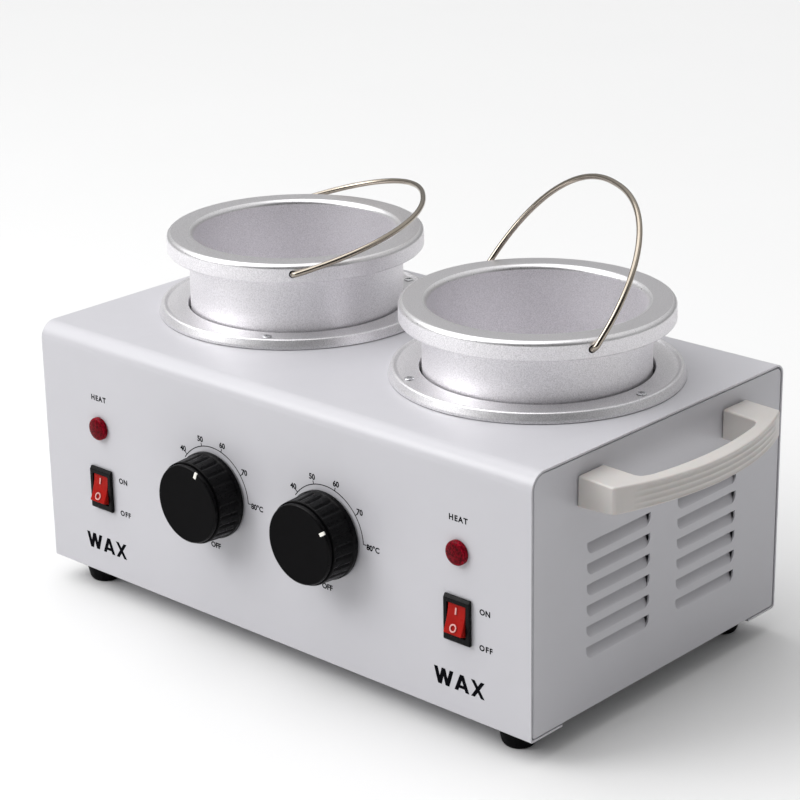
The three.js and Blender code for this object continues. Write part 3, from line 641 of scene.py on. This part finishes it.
def screws():
    master = cross_head("screw_master", 2.4 * MM, 0.65 * MM, 9 * MM)
    for number, side in enumerate(SIDES):
        for i in (1, 2, 3):
            node = f"{side}_well_ring_screw_{i}"
            low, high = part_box(node)
            centre = (low + high) / 2
            turn = Matrix.Rotation(math.radians(37 * i + 50 * number), 4, "Z")
            place = Matrix.Translation((centre.x, centre.y, high.z - 1.1 * MM)) @ turn
            dress(copy_of(master, f"{side}_ring_screw_{i}", place), "cabinet", "zinc", node)
    for name in ("front_left", "front_right", "rear_left", "rear_right"):
        node = f"{name}_foot_screw"
        low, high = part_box(node)
        centre = (low + high) / 2
        size = Matrix.Scale(1.25, 4)
        upside_down = Matrix.Rotation(math.pi, 4, "X")
        place = Matrix.Translation((centre.x, centre.y, low.z + 1.2 * MM)) @ upside_down @ size
        dress(copy_of(master, f"{name}_fixing", place), "cabinet", "zinc", node)
    bpy.data.objects.remove(master)


# ------------------------------------------------------------------ wells and pots


def fillet(points, steps=6):
    """Rounds the (radius, height, fillet) corners of a lathe profile."""
    return rounded(points, steps, closed=False)


def well(side):
    low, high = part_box(f"{side}_well_ring")
    centre = (low + high) / 2
    outer = (high.x - low.x) / 2
    plate = low.z + RING_PLATE - 0.3 * MM
    profile = rounded([
        (RING_BORE, low.z, 0), (outer, low.z, 0.2 * MM), (outer - 0.2 * MM, low.z + 1.3 * MM, 0.3 * MM),
        (outer - 1.5 * MM, high.z, 1.1 * MM), (outer - 2.8 * MM, high.z, 0.8 * MM),
        (outer - 4.2 * MM, plate, 1.4 * MM), (RING_BORE, plate, 0.5 * MM),
    ], 6)
    at = Matrix.Translation((centre.x, centre.y, 0))
    ring = move(lathe(f"{side}_trim_ring", profile, 144, closed=True), at)
    dress(ring, "cabinet", "ring", f"{side}_well_ring", sharp=50)

    low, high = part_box(f"{side}_well_liner")
    under, floor, bore, wall = high.z, low.z, LINER_BORE, LINER_WALL
    profile = fillet([
        (0, floor, 0), (bore + wall, floor, 2.4 * MM), (bore + wall, under - wall, 1 * MM),
        (LINER_FLANGE, under - wall, 0), (LINER_FLANGE, under, 0), (bore, under, 1.6 * MM),
        (bore, floor + wall, 1.4 * MM), (0, floor + wall, 0),
    ])
    cup = lathe(f"{side}_steel_liner", profile, 96)
    dress(move(cup, at), "cabinet", "zinc", f"{side}_well_liner")

    low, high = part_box(f"{side}_heater_plate")
    reach = (high.x - low.x) / 2
    turned = []
    for k in range(PLATE_GROOVES):
        radius = 6 * MM + GROOVE_PITCH * k
        turned += [(radius, high.z - 0.02 * MM), (radius + 0.3 * MM, high.z - 0.22 * MM),
                   (radius + 0.6 * MM, high.z - 0.02 * MM)]
    profile = [(0, low.z), (reach - 0.8 * MM, low.z), (reach, low.z + 0.8 * MM), (reach, high.z - 0.8 * MM),
               (reach - 0.8 * MM, high.z), *turned[::-1], (0, high.z - 0.02 * MM)]
    heater = lathe(f"{side}_hot_plate", profile, 96)
    dress(move(heater, at), "cabinet", "ring", f"{side}_heater_plate", sharp=20)


def pot(side):
    low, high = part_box(f"{side}_pot")
    centre = (low + high) / 2
    rim, top, base = (high.x - low.x) / 2, high.z, low.z
    profile = fillet([
        (0, base, 0), (POT_WALL, base, 3 * MM), (POT_WALL, top - POT_BAND, 1.0 * MM),
        (rim, top - POT_BAND, 1.1 * MM), (rim, top, 2.5 * MM), (POT_BORE, top, 2.7 * MM),
        (POT_BORE, base + POT_FLOOR, 4 * MM), (0, base + POT_FLOOR, 0),
    ], 10)
    cup = lathe(f"{side}_wax_pot", profile, 160)
    hinge = JOINTS[f"{side}_bail_swing"]
    axis = Vector(hinge["axis"])
    turn = math.atan2(axis.y, axis.x)
    tools = []
    for half_turn in (0, math.pi):
        hole = cylinder(0, 0, BAIL_HOLE, BAIL_END - 1.5 * MM, rim + 3 * MM, 32)
        spin = Matrix.Rotation(turn + half_turn, 4, "Z") @ Matrix.Rotation(math.pi / 2, 4, "Y")
        tools.append(move(hole, Matrix.Translation((0, 0, hinge["pos_m"][2])) @ spin))
    boolean(cup, tools)
    move(cup, Matrix.Translation((centre.x, centre.y, 0)))
    cup.data.materials.append(MATERIALS["aluminium"][0])
    for look in ("edge", "rim", "bore"):
        cup.data.materials.append(MATERIALS[look][0])
    for polygon in cup.data.polygons:
        at = polygon.center
        reach = math.hypot(at.x - centre.x, at.y - centre.y)
        tilt = abs(polygon.normal.z)
        if at.z > top - 3.2 * MM and 0.12 < tilt < 0.985 and reach > POT_BORE:
            polygon.material_index = 1
        # The flat rim top takes the darker rim copy, which is painted shade.
        elif at.z > top - 0.2 * MM:
            polygon.material_index = 2
        elif reach < POT_BORE + 0.1 * MM:
            polygon.material_index = 3
    dress(cup, f"{side}_pot", "aluminium", f"{side}_pot", sharp=45)


def bail(side):
    hinge = JOINTS[f"{side}_bail_swing"]
    pivot, axis = Vector(hinge["pos_m"]), Vector(hinge["axis"]).normalized()
    node = frame["nodes"][f"{side}_bail"]
    corners = [v.co - pivot for v in node.data.vertices]
    lean = sum(corners, Vector()) / len(corners)
    up = (lean - axis * lean.dot(axis)).normalized()
    half = [(BAIL_END, 0), (BAIL_HALF_WIDTH - BAIL_BEND - 1.5 * MM, 0)]
    half += [(BAIL_HALF_WIDTH - BAIL_BEND + BAIL_BEND * math.sin(a), BAIL_BEND * (1 - math.cos(a)))
             for a in [math.pi / 16 * k for k in range(9)]]
    arch = [math.radians(6 + 84 * k / 48) for k in range(49)]
    half += [(BAIL_HALF_WIDTH * max(math.cos(a), 0) ** (2 / BAIL_SQUARENESS),
              BAIL_HEIGHT * math.sin(a) ** (2 / BAIL_SQUARENESS)) for a in arch]
    half[-1] = (0.0, BAIL_HEIGHT)
    path = half + [(-x, y) for x, y in half[-2::-1]]
    sides = 20
    vertices, faces = [], []
    across = axis.cross(up)
    for i, (x, y) in enumerate(path):
        before, after = path[max(i - 1, 0)], path[min(i + 1, len(path) - 1)]
        along = Vector((after[0] - before[0], after[1] - before[1])).normalized()
        centre = pivot + axis * x + up * y
        side_way = axis * along.y - up * along.x
        for k in range(sides):
            angle = 2 * math.pi * k / sides
            offset = side_way * (BAIL_WIRE * math.cos(angle))
            vertices.append(centre + offset + across * (BAIL_WIRE * math.sin(angle)))
    for i in range(len(path) - 1):
        for k in range(sides):
            a, b = i * sides + k, i * sides + (k + 1) % sides
            faces.append((a, b, b + sides, a + sides))
    faces.append(tuple(range(sides)))
    faces.append(tuple(range((len(path) - 1) * sides, len(path) * sides)))
    wire = mesh_object(f"{side}_wire_bail", vertices, faces)
    dress(wire, f"{side}_bail", "wire", f"{side}_bail", sharp=50)


# ------------------------------------------------------------------ controls


def knob(side):
    shaft = middle(f"{side}_thermostat_shaft")
    low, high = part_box(f"{side}_knob")
    reach, stand_off, skirt = FRONT - low.y, FRONT - high.y, (high.x - low.x) / 2
    tip = reach - 2.8 * MM

    def fluted(radius, height, angle):
        if not KNOB_BAND < height < tip or radius < KNOB_FACE - 1 * MM:
            return radius
        fade = min(1, (height - KNOB_BAND) / (1.6 * MM), (tip - height) / (0.8 * MM))
        wave = abs((angle * FLUTES / (2 * math.pi)) % 1 - 0.5) * 2
        return radius - 0.55 * MM * max(fade, 0) ** 0.5 * max(0, 1 - wave / 0.42) ** 0.8

    steps = 16
    flank = [(KNOB_FACE + 0.9 * MM + (skirt - KNOB_FACE - 1.4 * MM) * (1 - k / steps), KNOB_BAND + 0.3 * MM
              + (tip - KNOB_BAND - 0.3 * MM) * k / steps) for k in range(steps + 1)]
    profile = [
        (0, 14 * MM), (3.2 * MM, 14 * MM), (3.2 * MM, 3.2 * MM), (5 * MM, 3.2 * MM), (5 * MM, 8 * MM),
        (skirt - 2.4 * MM, 7.5 * MM), (skirt - 2 * MM, stand_off), (skirt - 0.4 * MM, stand_off),
        (skirt, stand_off + 0.4 * MM), (skirt, KNOB_BAND - 0.4 * MM), (skirt - 0.4 * MM, KNOB_BAND),
        *flank,
        (KNOB_FACE + 0.7 * MM, tip + 0.35 * MM), (KNOB_FACE - 0.25 * MM, tip + 0.55 * MM),
        (KNOB_FACE - 0.25 * MM, tip + 0.95 * MM), (KNOB_FACE, tip + 1.15 * MM),
        (KNOB_FACE, reach - 0.75 * MM), (KNOB_FACE - 0.2 * MM, reach - 0.3 * MM),
        (KNOB_FACE - 0.6 * MM, reach - 0.05 * MM), (KNOB_FACE - 1.0 * MM, reach),
        (KNOB_FACE - 1.8 * MM, reach - 0.12 * MM), (10 * MM, reach - 0.16 * MM),
        (0, reach - 0.16 * MM),
    ]
    grip = grid_lathe(f"{side}_fluted_knob", profile, FLUTES * 16, fluted)
    pointer = middle(f"{side}_knob_pointer")
    angle = math.atan2(pointer.z - shaft.z, pointer.x - shaft.x)
    slot = prism("tool", box_outline(16.0 * MM, 20 * MM, -0.95 * MM, 0.95 * MM), reach - 0.9 * MM, reach + MM)
    boolean(grip, [move(slot, Matrix.Rotation(angle, 4, "Z"))])
    for look in ("black", "skirt"):
        grip.data.materials.append(MATERIALS[look][0])
    for polygon in grip.data.polygons:
        if polygon.normal.z < 0.97 and polygon.center.z > stand_off:
            polygon.material_index = 1
    dress(move(grip, facing_front(shaft.x, shaft.z)), f"{side}_knob", "black", f"{side}_knob", sharp=42)
    bar = prism(f"{side}_pointer_inlay", box_outline(16.1 * MM, 19.4 * MM, -0.87 * MM, 0.87 * MM, 0.3 * MM),
                reach - 0.8 * MM, reach + 0.05 * MM)
    soften(bar, 0.12 * MM, 2)
    place = facing_front(shaft.x, shaft.z) @ Matrix.Rotation(angle, 4, "Z")
    dress(move(bar, place), f"{side}_knob", "white", f"{side}_knob_pointer")


def switch(side):
    place = middle(f"{side}_switch_housing")
    low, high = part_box(f"{side}_switch_housing")
    width, height, proud = (high.x - low.x) / 2, (high.z - low.z) / 2, FRONT - low.y
    at = facing_front(place.x, place.z)
    # The bezel's top edge slopes, so its side view is swept across.
    edge = [(-height, 0.3 * MM), (-height, proud - 0.5 * MM), (-height + 0.6 * MM, proud),
            (height - 1.6 * MM, proud), (height, proud - 1.0 * MM), (height, 0.3 * MM)]
    bezel = move(prism(f"{side}_switch_bezel", edge, -width, width), ALONG_X)
    soften(bezel, 0.28 * MM, 3, 20)
    body = prism("tool", box_outline(-6.5 * MM, 6.5 * MM, -9.5 * MM, 9.5 * MM), -16 * MM, proud - 1.2 * MM)
    boolean(bezel, [body], "UNION")
    opening = box_outline(-5.6 * MM, 5.6 * MM, -7.9 * MM, 7.9 * MM, 0.4 * MM)
    pocket = prism("tool", opening, -9 * MM, proud + MM)
    boolean(bezel, [pocket])
    blades = [prism("tool", box_outline(-2.4 * MM, 2.4 * MM, z - 0.4 * MM, z + 0.4 * MM), -24 * MM, -15 * MM)
              for z in (-6 * MM, 0, 6 * MM)]
    boolean(bezel, blades, "UNION")
    dress(move(bezel, at), "cabinet", "gloss_black", f"{side}_switch_housing")

    # The rocker in its own axes: x across, y up the panel, z out of it, tipped about its pivot.
    tilt = Matrix.Rotation(math.radians(-ROCKER_TILT), 4, "X")
    tip, dip, half = ROCKER_TIP, ROCKER_DIP, ROCKER_HALF
    steps = 12
    along = [1 - k / steps for k in range(2 * steps + 1)]
    profile = [*[(half * t, tip - dip * (1 - t ** 2)) for t in along], (-half - 0.3 * MM, -1.5 * MM),
               (-3 * MM, -4 * MM), (3 * MM, -4 * MM), (half + 0.3 * MM, -1.5 * MM)]
    rocker = move(prism(f"{side}_rocker_cap", profile, -5.2 * MM, 5.2 * MM), ALONG_X)
    soften(rocker, 0.4 * MM, 3, 40)
    dress(move(rocker, at @ tilt), f"{side}_rocker", "red", f"{side}_rocker", sharp=40)

    level = tip - dip * 0.72 + PRINT
    stroke = prism(f"{side}_rocker_on_mark", box_outline(-0.4 * MM, 0.4 * MM, 2.3 * MM, 5.5 * MM, 0.2 * MM),
                   -0.25 * MM, 0.05 * MM)
    lean = math.atan2(2 * dip * 0.5, half)
    on_place = Matrix.Translation((0, 0, level)) @ Matrix.Rotation(lean, 4, "X")
    dress(move(stroke, at @ tilt @ on_place), f"{side}_rocker", "mark")
    ring = [(1.3 * MM, -0.25 * MM), (1.95 * MM, -0.25 * MM), (1.95 * MM, 0.05 * MM), (1.3 * MM, 0.05 * MM)]
    zero = lathe(f"{side}_rocker_off_mark", ring, 40, closed=True)
    off_place = Matrix.Translation((0, 0, level)) @ Matrix.Rotation(-lean, 4, "X")
    off_place = off_place @ Matrix.Translation((0, -4 * MM, 0))
    dress(move(zero, at @ tilt @ off_place), f"{side}_rocker", "mark")


def lamp(side):
    """A red cap: a dark faceted face inside a rounded shoulder coloured a brighter red as painted glow."""
    place = middle(f"{side}_lamp_lens")
    low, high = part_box(f"{side}_lamp_lens")
    radius, reach = (high.x - low.x) / 2, FRONT - low.y
    face = radius * 0.83

    def faceted(r, height, angle):
        turn = math.pi / 12
        return r * math.cos(turn) / math.cos((angle % (2 * turn)) - turn) if r < face * 1.01 else r

    dome = [(face * k / 6, reach - 0.55 * MM * (k / 6) ** 2) for k in range(6)]
    shoulder = [(face + (radius - face) * math.sin(a), reach - 0.75 * MM - 1.3 * MM * (1 - math.cos(a)))
                for a in [math.pi / 16 * k for k in range(9)]]
    profile = [*dome, (face, reach - 0.6 * MM), *shoulder, (radius, 0.3 * MM),
               (4.8 * MM, 0.3 * MM), (4.8 * MM, -3 * MM), (0, -3 * MM)]
    glass = grid_lathe(f"{side}_neon_lens", profile, 96, faceted)
    glass.data.materials.append(MATERIALS["lens"][0])
    glass.data.materials.append(MATERIALS["painted_glow_rim"][0])
    # Faces out on the shoulder take the brighter red of painted glow.
    for polygon in glass.data.polygons:
        if math.hypot(polygon.center.x, polygon.center.y) > face * 0.985:
            polygon.material_index = 1
    dress(move(glass, facing_front(place.x, place.z)), "cabinet", "lens", f"{side}_lamp_lens", sharp=30)


# ------------------------------------------------------------------ printing


def text(name, words, x, z, height, bold=SMALL_BOLD, align="CENTER", spacing=1.0):
    """Printed words whose capitals are the given height, centred on (x, z) unless aligned left."""
    curve = bpy.data.curves.new(name, "FONT")
    curve.body = words
    curve.align_x, curve.align_y = align, "CENTER"
    curve.size = height / 0.72
    curve.space_character = spacing
    curve.offset = bold
    curve.resolution_u = 4
    curve.extrude = PRINT / 2
    holder = bpy.data.objects.new(name, curve)
    bpy.context.scene.collection.objects.link(holder)
    bpy.context.view_layer.update()
    graph = bpy.context.evaluated_depsgraph_get()
    mesh = bpy.data.meshes.new_from_object(holder.evaluated_get(graph))
    bpy.data.objects.remove(holder)
    mesh.materials.clear()
    label = bpy.data.objects.new(name, mesh)
    bpy.context.scene.collection.objects.link(label)
    dress(move(label, facing_front(x, z) @ Matrix.Translation((0, 0, PRINT / 2))), "cabinet", "ink")


# Each letter: where it starts, then its strokes from (x, y) to (x, y), all in cap heights.
STROKES = {
    "W": (-1.72, (((0, 1), (0.29, 0)), ((0.29, 0), (0.56, 1)),
                  ((0.56, 1), (0.84, 0)), ((0.84, 0), (1.15, 1)))),
    "A": (-0.23, (((0, 0), (0.40, 1)), ((0.40, 1), (0.80, 0)))),
    "X": (0.96, (((0, 1), (0.71, 0)), ((0.71, 1), (0, 0)))),
}
CAP_HEIGHT, STROKE_WIDTH = 8.2 * MM, 0.265


def bold_word(side, x, z):
    """The contents' name in heavy capitals, with its middle at (x, z)."""
    for letter, (start, strokes) in STROKES.items():
        bars = []
        for (x0, y0), (x1, y1) in strokes:
            h = STROKE_WIDTH / 2
            bars.append([(x0 - h, y0), (x0 + h, y0), (x1 + h, y1), (x1 - h, y1)])
        if letter == "A":
            bars.append([(0.1, 0.18), (0.7, 0.18), (0.64, 0.37), (0.16, 0.37)])
        shape = None
        for bar in bars:
            outline = [((px + start) * CAP_HEIGHT, (py - 0.5) * CAP_HEIGHT) for px, py in bar]
            piece = prism(f"{side}_letter_{letter}", outline, 0, PRINT)
            shape = piece if shape is None else boolean(shape, [piece], "UNION")
        dress(move(shape, facing_front(x, z)), "cabinet", "ink")


def printing(side):
    shaft = middle(f"{side}_thermostat_shaft")
    thick = SCALE_LINE
    first, last = SCALE_MARKS[0][0] + 5.5, SCALE_MARKS[-1][0]
    outer = arc((0, 0), SCALE_RADIUS + thick / 2, first, last, 64)
    inner = arc((0, 0), SCALE_RADIUS - thick / 2, last, first, 64)
    line = prism(f"{side}_scale_line", outer + inner, 0, PRINT)
    dress(move(line, facing_front(shaft.x, shaft.z)), "cabinet", "ink")
    for angle, number in SCALE_MARKS:
        outline = box_outline(SCALE_RADIUS, SCALE_RADIUS + 1.7 * MM, -thick / 2, thick / 2)
        tick = prism(f"{side}_tick_{number}", outline, 0, PRINT * 1.2)
        place = facing_front(shaft.x, shaft.z) @ Matrix.Rotation(math.radians(angle), 4, "Z")
        dress(move(tick, place), "cabinet", "ink")
        turn = math.radians(angle)
        x, z = NUMBER_RADIUS * math.cos(turn), NUMBER_RADIUS * math.sin(turn)
        if number == "80":
            start = shaft.x + 25.7 * MM
            text(f"{side}_scale_80", "80°C", start, shaft.z + z - 0.9 * MM, SMALL_PRINT, align="LEFT")
        else:
            text(f"{side}_scale_{number}", number, shaft.x + x, shaft.z + z, SMALL_PRINT)
    text(f"{side}_scale_off", "OFF", shaft.x, shaft.z - 27 * MM, SMALL_PRINT)
    lens, rocker = middle(f"{side}_lamp_lens"), middle(f"{side}_switch_housing")
    text(f"{side}_label_heat", "HEAT", lens.x, lens.z + 15.5 * MM, SMALL_PRINT, spacing=1.25)
    for word, dx, dz, spacing in (("ON", 12, 7.2, 1.1), ("OFF", 11.8, -10.2, 1.25)):
        text(f"{side}_label_{word.lower()}", word, rocker.x + dx * MM, rocker.z + dz * MM, SMALL_PRINT,
             align="LEFT", spacing=spacing)
    bold_word(side, rocker.x, BASE + 16.7 * MM)


# ------------------------------------------------------------------ rear bushing and inside pieces


def gland():
    low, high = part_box("cord_gland")
    centre = (low + high) / 2
    reach, outer = high.y - REAR, (high.x - low.x) / 2
    profile = rounded([
        (3.4 * MM, -8 * MM, 0), (7.2 * MM, -8 * MM, 0.6 * MM), (7.9 * MM, -1.4 * MM, 0.2 * MM),
        (6.5 * MM, -1.3 * MM, 0), (6.5 * MM, 0.3 * MM, 0), (outer, 0.3 * MM, 0.3 * MM),
        (outer, 2.4 * MM, 0.9 * MM), (7.6 * MM, reach, 0.6 * MM),
        (3.4 * MM, reach, 0.6 * MM),
    ], 5)
    bush = lathe("rear_cord_bushing", profile, 64, closed=True)
    place = Matrix.Translation((centre.x, REAR, centre.z)) @ Matrix.Rotation(-math.pi / 2, 4, "X")
    dress(move(bush, place), "cabinet", "rubber", "cord_gland", sharp=40)


KEPT = {"bottom_plate": "zinc", "terminal_block": "nylon"}
for side in SIDES:
    KEPT[f"{side}_insulation_pad"] = "fibre"
    KEPT[f"{side}_thermostat"] = "bakelite"
    KEPT[f"{side}_thermostat_shaft"] = "zinc"
    KEPT[f"{side}_lamp_body"] = "nylon"
    for end in ("front", "rear"):
        KEPT[f"{side}_handle_{end}_screw"] = "zinc"
    for i in (1, 2):
        KEPT[f"{side}_thermostat_screw_{i}"] = "zinc"

for node, look in KEPT.items():
    mesh = frame["nodes"][node].data
    mesh.materials.clear()
    mesh.materials.append(MATERIALS[look][0])

cabinet_wrap()
end_panels()
handles()
feet()
screws()
gland()
for side in SIDES:
    well(side)
    pot(side)
    bail(side)
    knob(side)
    switch(side)
    lamp(side)
    printing(side)

# ------------------------------------------------------------------ floor, light and camera


def area_light(name, at, target, size, power, colour=(1, 1, 1)):
    data = bpy.data.lights.new(name, "AREA")
    data.shape = "RECTANGLE"
    data.size, data.size_y = size
    data.energy = power
    data.color = colour
    light = bpy.data.objects.new(name, data)
    light.location = at
    light.rotation_euler = (Vector(target) - Vector(at)).to_track_quat("-Z", "Y").to_euler()
    bpy.context.scene.collection.objects.link(light)


FLOOR = 6
corners = [(-FLOOR, -FLOOR, 0), (FLOOR, -FLOOR, 0), (FLOOR, FLOOR, 0), (-FLOOR, FLOOR, 0)]
floor = mesh_object("floor", corners, [(0, 1, 2, 3)])
pale = Shader("pale_floor", (0.77, 0.77, 0.77), 0.8)
pale.mottle(0.2, 0.004)
floor.data.materials.append(pale.material)

# The room is palest overhead and darker towards the horizon, with a dark opening on one side.
world = bpy.data.worlds.new("studio")
world.use_nodes = True
nodes, links = world.node_tree.nodes, world.node_tree.links
direction = nodes.new("ShaderNodeTexCoord")


def sky_ramp(axis, start, end, low, high):
    """Brightness by how far a direction leans to an axis."""
    towards = nodes.new("ShaderNodeVectorMath")
    towards.operation = "DOT_PRODUCT"
    towards.inputs[1].default_value = axis
    ramp = nodes.new("ShaderNodeMapRange")
    ramp.interpolation_type = "SMOOTHSTEP"
    for socket, value in (("From Min", start), ("From Max", end), ("To Min", low), ("To Max", high)):
        ramp.inputs[socket].default_value = value
    links.new(direction.outputs["Generated"], towards.inputs[0])
    links.new(towards.outputs["Value"], ramp.inputs["Value"])
    return ramp.outputs["Result"]


shade_of_sky = nodes.new("ShaderNodeMath")
shade_of_sky.operation = "MULTIPLY"
links.new(sky_ramp((0, 0, 1), 0.0, 0.85, 0.24, 0.8), shade_of_sky.inputs[0])
links.new(sky_ramp((0.66, -0.70, 0.27), 0.5, 0.93, 1.0, 0.06), shade_of_sky.inputs[1])
links.new(shade_of_sky.outputs["Value"], nodes["Background"].inputs["Strength"])
nodes["Background"].inputs["Color"].default_value = (1, 1, 1, 1)
bpy.context.scene.world = world

area_light("key", (-0.85, -1.15, 1.05), (0, 0, 0.08), (0.9, 0.9), 11.8)
sky = bpy.data.lights.new("overhead", "SUN")
sky.energy = 1.9
sky.angle = math.radians(75)
overhead = bpy.data.objects.new("overhead", sky)
overhead.rotation_euler = Vector((-0.40, -0.32, 1)).to_track_quat("Z", "Y").to_euler()
bpy.context.scene.collection.objects.link(overhead)

TARGET = Vector((-1.06 * MM, MID_Y, BASE + 96.6 * MM))
AZIMUTH, ELEVATION, ROLL = math.radians(42.729), math.radians(20.168), math.radians(-0.972)
DISTANCE, FOCAL_LENGTH, SENSOR_WIDTH = 1.2221, 111.68, 36
level = math.cos(ELEVATION)
back = Vector((math.sin(AZIMUTH) * level, -math.cos(AZIMUTH) * level, math.sin(ELEVATION)))
right = Vector((0, 0, 1)).cross(back).normalized()
up = back.cross(right)
rolled_right = right * math.cos(ROLL) + up * math.sin(ROLL)
rolled_up = up * math.cos(ROLL) - right * math.sin(ROLL)
lens = bpy.data.cameras.new("camera")
lens.sensor_width = SENSOR_WIDTH
lens.lens = FOCAL_LENGTH
lens.clip_start, lens.clip_end = 0.01, 50
camera = bpy.data.objects.new("camera", lens)
camera.matrix_world = Matrix.Translation(TARGET + back * DISTANCE) @ Matrix(
    (rolled_right, rolled_up, back)).transposed().to_4x4()
bpy.context.scene.collection.objects.link(camera)
bpy.context.scene.camera = camera
bpy.context.scene.view_settings.view_transform = "Standard"
